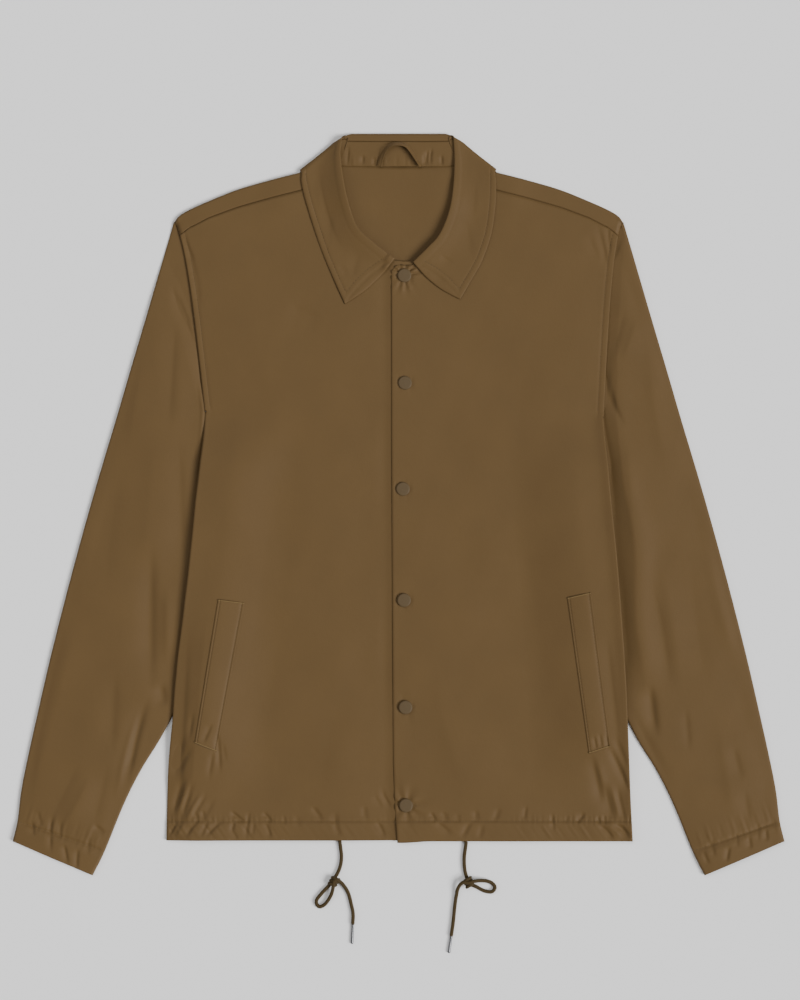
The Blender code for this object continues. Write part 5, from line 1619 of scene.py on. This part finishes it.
class JACKET_OT_stitching(bpy.types.Operator):
    """Topstitching of the hem, cuffs, armholes, collar and welts."""

    bl_idname = "jacket.stitching"
    bl_label = "Stitching"

    def execute(self, context):
        pitch = context.scene.jacket_sizes.stitch / MM
        for side, hand in ((-1, "right"), (1, "left")):
            self.hem(side, hand, pitch)
            self.armhole(side, hand, pitch)
            self.cuff(side, hand, pitch)
            self.leaf(side, hand, pitch)
            self.welt(side, hand, pitch)
        return {"FINISHED"}

    def on_body(self, side, x, y, front):
        """A line of points just proud of the body's top cloth."""
        return np.column_stack([x, y, body_top(side, x, y, front) + STITCH_PROUD])

    def hem(self, side, hand, pitch):
        """One line round the hem tunnel, from the placket to the side."""
        start = -8.6 if side < 0 else 0.5
        x = np.linspace(start, side * (edge_out(side, np.array(HEM_STITCH)) - 4.0), 500)
        line = self.on_body(side, x, np.full_like(x, HEM_STITCH), side)
        stitches(f"hem_stitch_{hand}", line, pitch)

    def armhole(self, side, hand, pitch):
        """One line beside the armhole seam."""
        y = np.linspace(278.0, UNDERARM[side][1] + 6.0, 300)
        x = side * (edge_out(side, y) - STITCH_INSET)
        stitches(f"armhole_stitch_{hand}", self.on_body(side, x, y, side), pitch)

    def cuff(self, side, hand, pitch):
        """One line across the cuff tunnel."""
        outer, inner = sleeve_rung(side, np.array(CUFF_STITCH))
        t = np.linspace(0.03, 0.97, 200)
        plan = outer + (inner - outer) * t[:, None]
        x, y = side * plan[:, 0], plan[:, 1]
        z = sleeve_top(side, np.full_like(t, CUFF_STITCH), t, x, y) + STITCH_PROUD
        stitches(f"cuff_stitch_{hand}", np.column_stack([x, y, z]), pitch)

    def leaf(self, side, hand, pitch):
        """Two lines on the leaf: along its front edge, and along its free edge to the shoulder."""
        table = COLLAR_RIGHT if side < 0 else COLLAR_LEFT
        at = np.linspace(0.0, 5.6, 160)
        grid = leaf_grid(table, at, side)
        row = spline(table + (COLLAR_MIDDLE,), at)
        to_free, to_front = leaf_edges(table, grid[..., 0], grid[..., 1], row)
        line, half = [], grid.shape[1] // 2
        for section, off, front in zip(grid, to_free, to_front):
            k = np.interp(-STITCH_INSET, -off[half:], np.arange(half, len(off)))
            line.append(self.between(np.column_stack([section, front]), k))
        line = np.array(line)
        free = line[line[:, 3] > STITCH_INSET][:, :3]
        front_line = []
        for j in range(half - 8, grid.shape[1]):
            i = np.interp(STITCH_INSET, to_front[:60, j], np.arange(60))
            if to_free[int(i), j] > STITCH_INSET:
                front_line.append(self.between(grid[:, j], i))
        lift = np.array((0.0, 0.0, STITCH_PROUD))
        stitches(f"leaf_edge_stitch_{hand}", free + lift, pitch)
        if len(front_line) > 2:
            stitches(f"leaf_front_stitch_{hand}", np.array(front_line) + lift, pitch)

    def between(self, rows, at):
        """The row at a place counted in rows, each column on a straight line between its rows."""
        return [np.interp(at, np.arange(len(rows)), column) for column in rows.T]

    def welt(self, side, hand, pitch):
        """Two lines down the welt, beside its edges."""
        grid, u = welt_grid(side), welt_columns()
        for name, off in WELT_STITCHES.items():
            j = np.interp(off / WELT_WIDE, u, np.arange(len(u)))
            low = int(j)
            line = grid[:, low] + (grid[:, low + 1] - grid[:, low]) * (j - low)
            stitches(f"welt_{name}_stitch_{hand}", line + np.array((0.0, 0.0, 0.05)), pitch, 0.3)


class JACKET_PT_panel(bpy.types.Panel):
    """Buttons for each piece, with the sizes and colours."""

    bl_label = "Coach jacket"
    bl_idname = "JACKET_PT_panel"
    bl_space_type = "VIEW_3D"
    bl_region_type = "UI"
    bl_category = "Jacket"

    def draw(self, context):
        layout = self.layout
        for group in (context.scene.jacket_sizes, context.scene.jacket_colours):
            for key in group.bl_rna.properties.keys():
                if key not in ("rna_type", "name"):
                    layout.prop(group, key)
        for operator in OPERATORS:
            layout.operator(operator.bl_idname)


OPERATORS = (
    JACKET_OT_stage, JACKET_OT_drawcord, JACKET_OT_fronts, JACKET_OT_back, JACKET_OT_sleeves,
    JACKET_OT_collar, JACKET_OT_pockets, JACKET_OT_snaps, JACKET_OT_stitching,
)
CLASSES = (JacketSizes, JacketColours) + OPERATORS + (JACKET_PT_panel,)


def register():
    for cls in CLASSES:
        bpy.utils.register_class(cls)
    bpy.types.Scene.jacket_sizes = PointerProperty(type=JacketSizes)
    bpy.types.Scene.jacket_colours = PointerProperty(type=JacketColours)


def unregister():
    del bpy.types.Scene.jacket_sizes
    del bpy.types.Scene.jacket_colours
    for cls in reversed(CLASSES):
        bpy.utils.unregister_class(cls)


def main():
    """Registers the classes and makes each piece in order."""
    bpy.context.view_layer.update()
    register()
    bpy.ops.jacket.stage()
    bpy.ops.jacket.drawcord()
    bpy.ops.jacket.fronts()
    bpy.ops.jacket.back()
    bpy.ops.jacket.sleeves()
    bpy.ops.jacket.collar()
    bpy.ops.jacket.pockets()
    bpy.ops.jacket.snaps()
    bpy.ops.jacket.stitching()


if __name__ == "__main__":
    main()
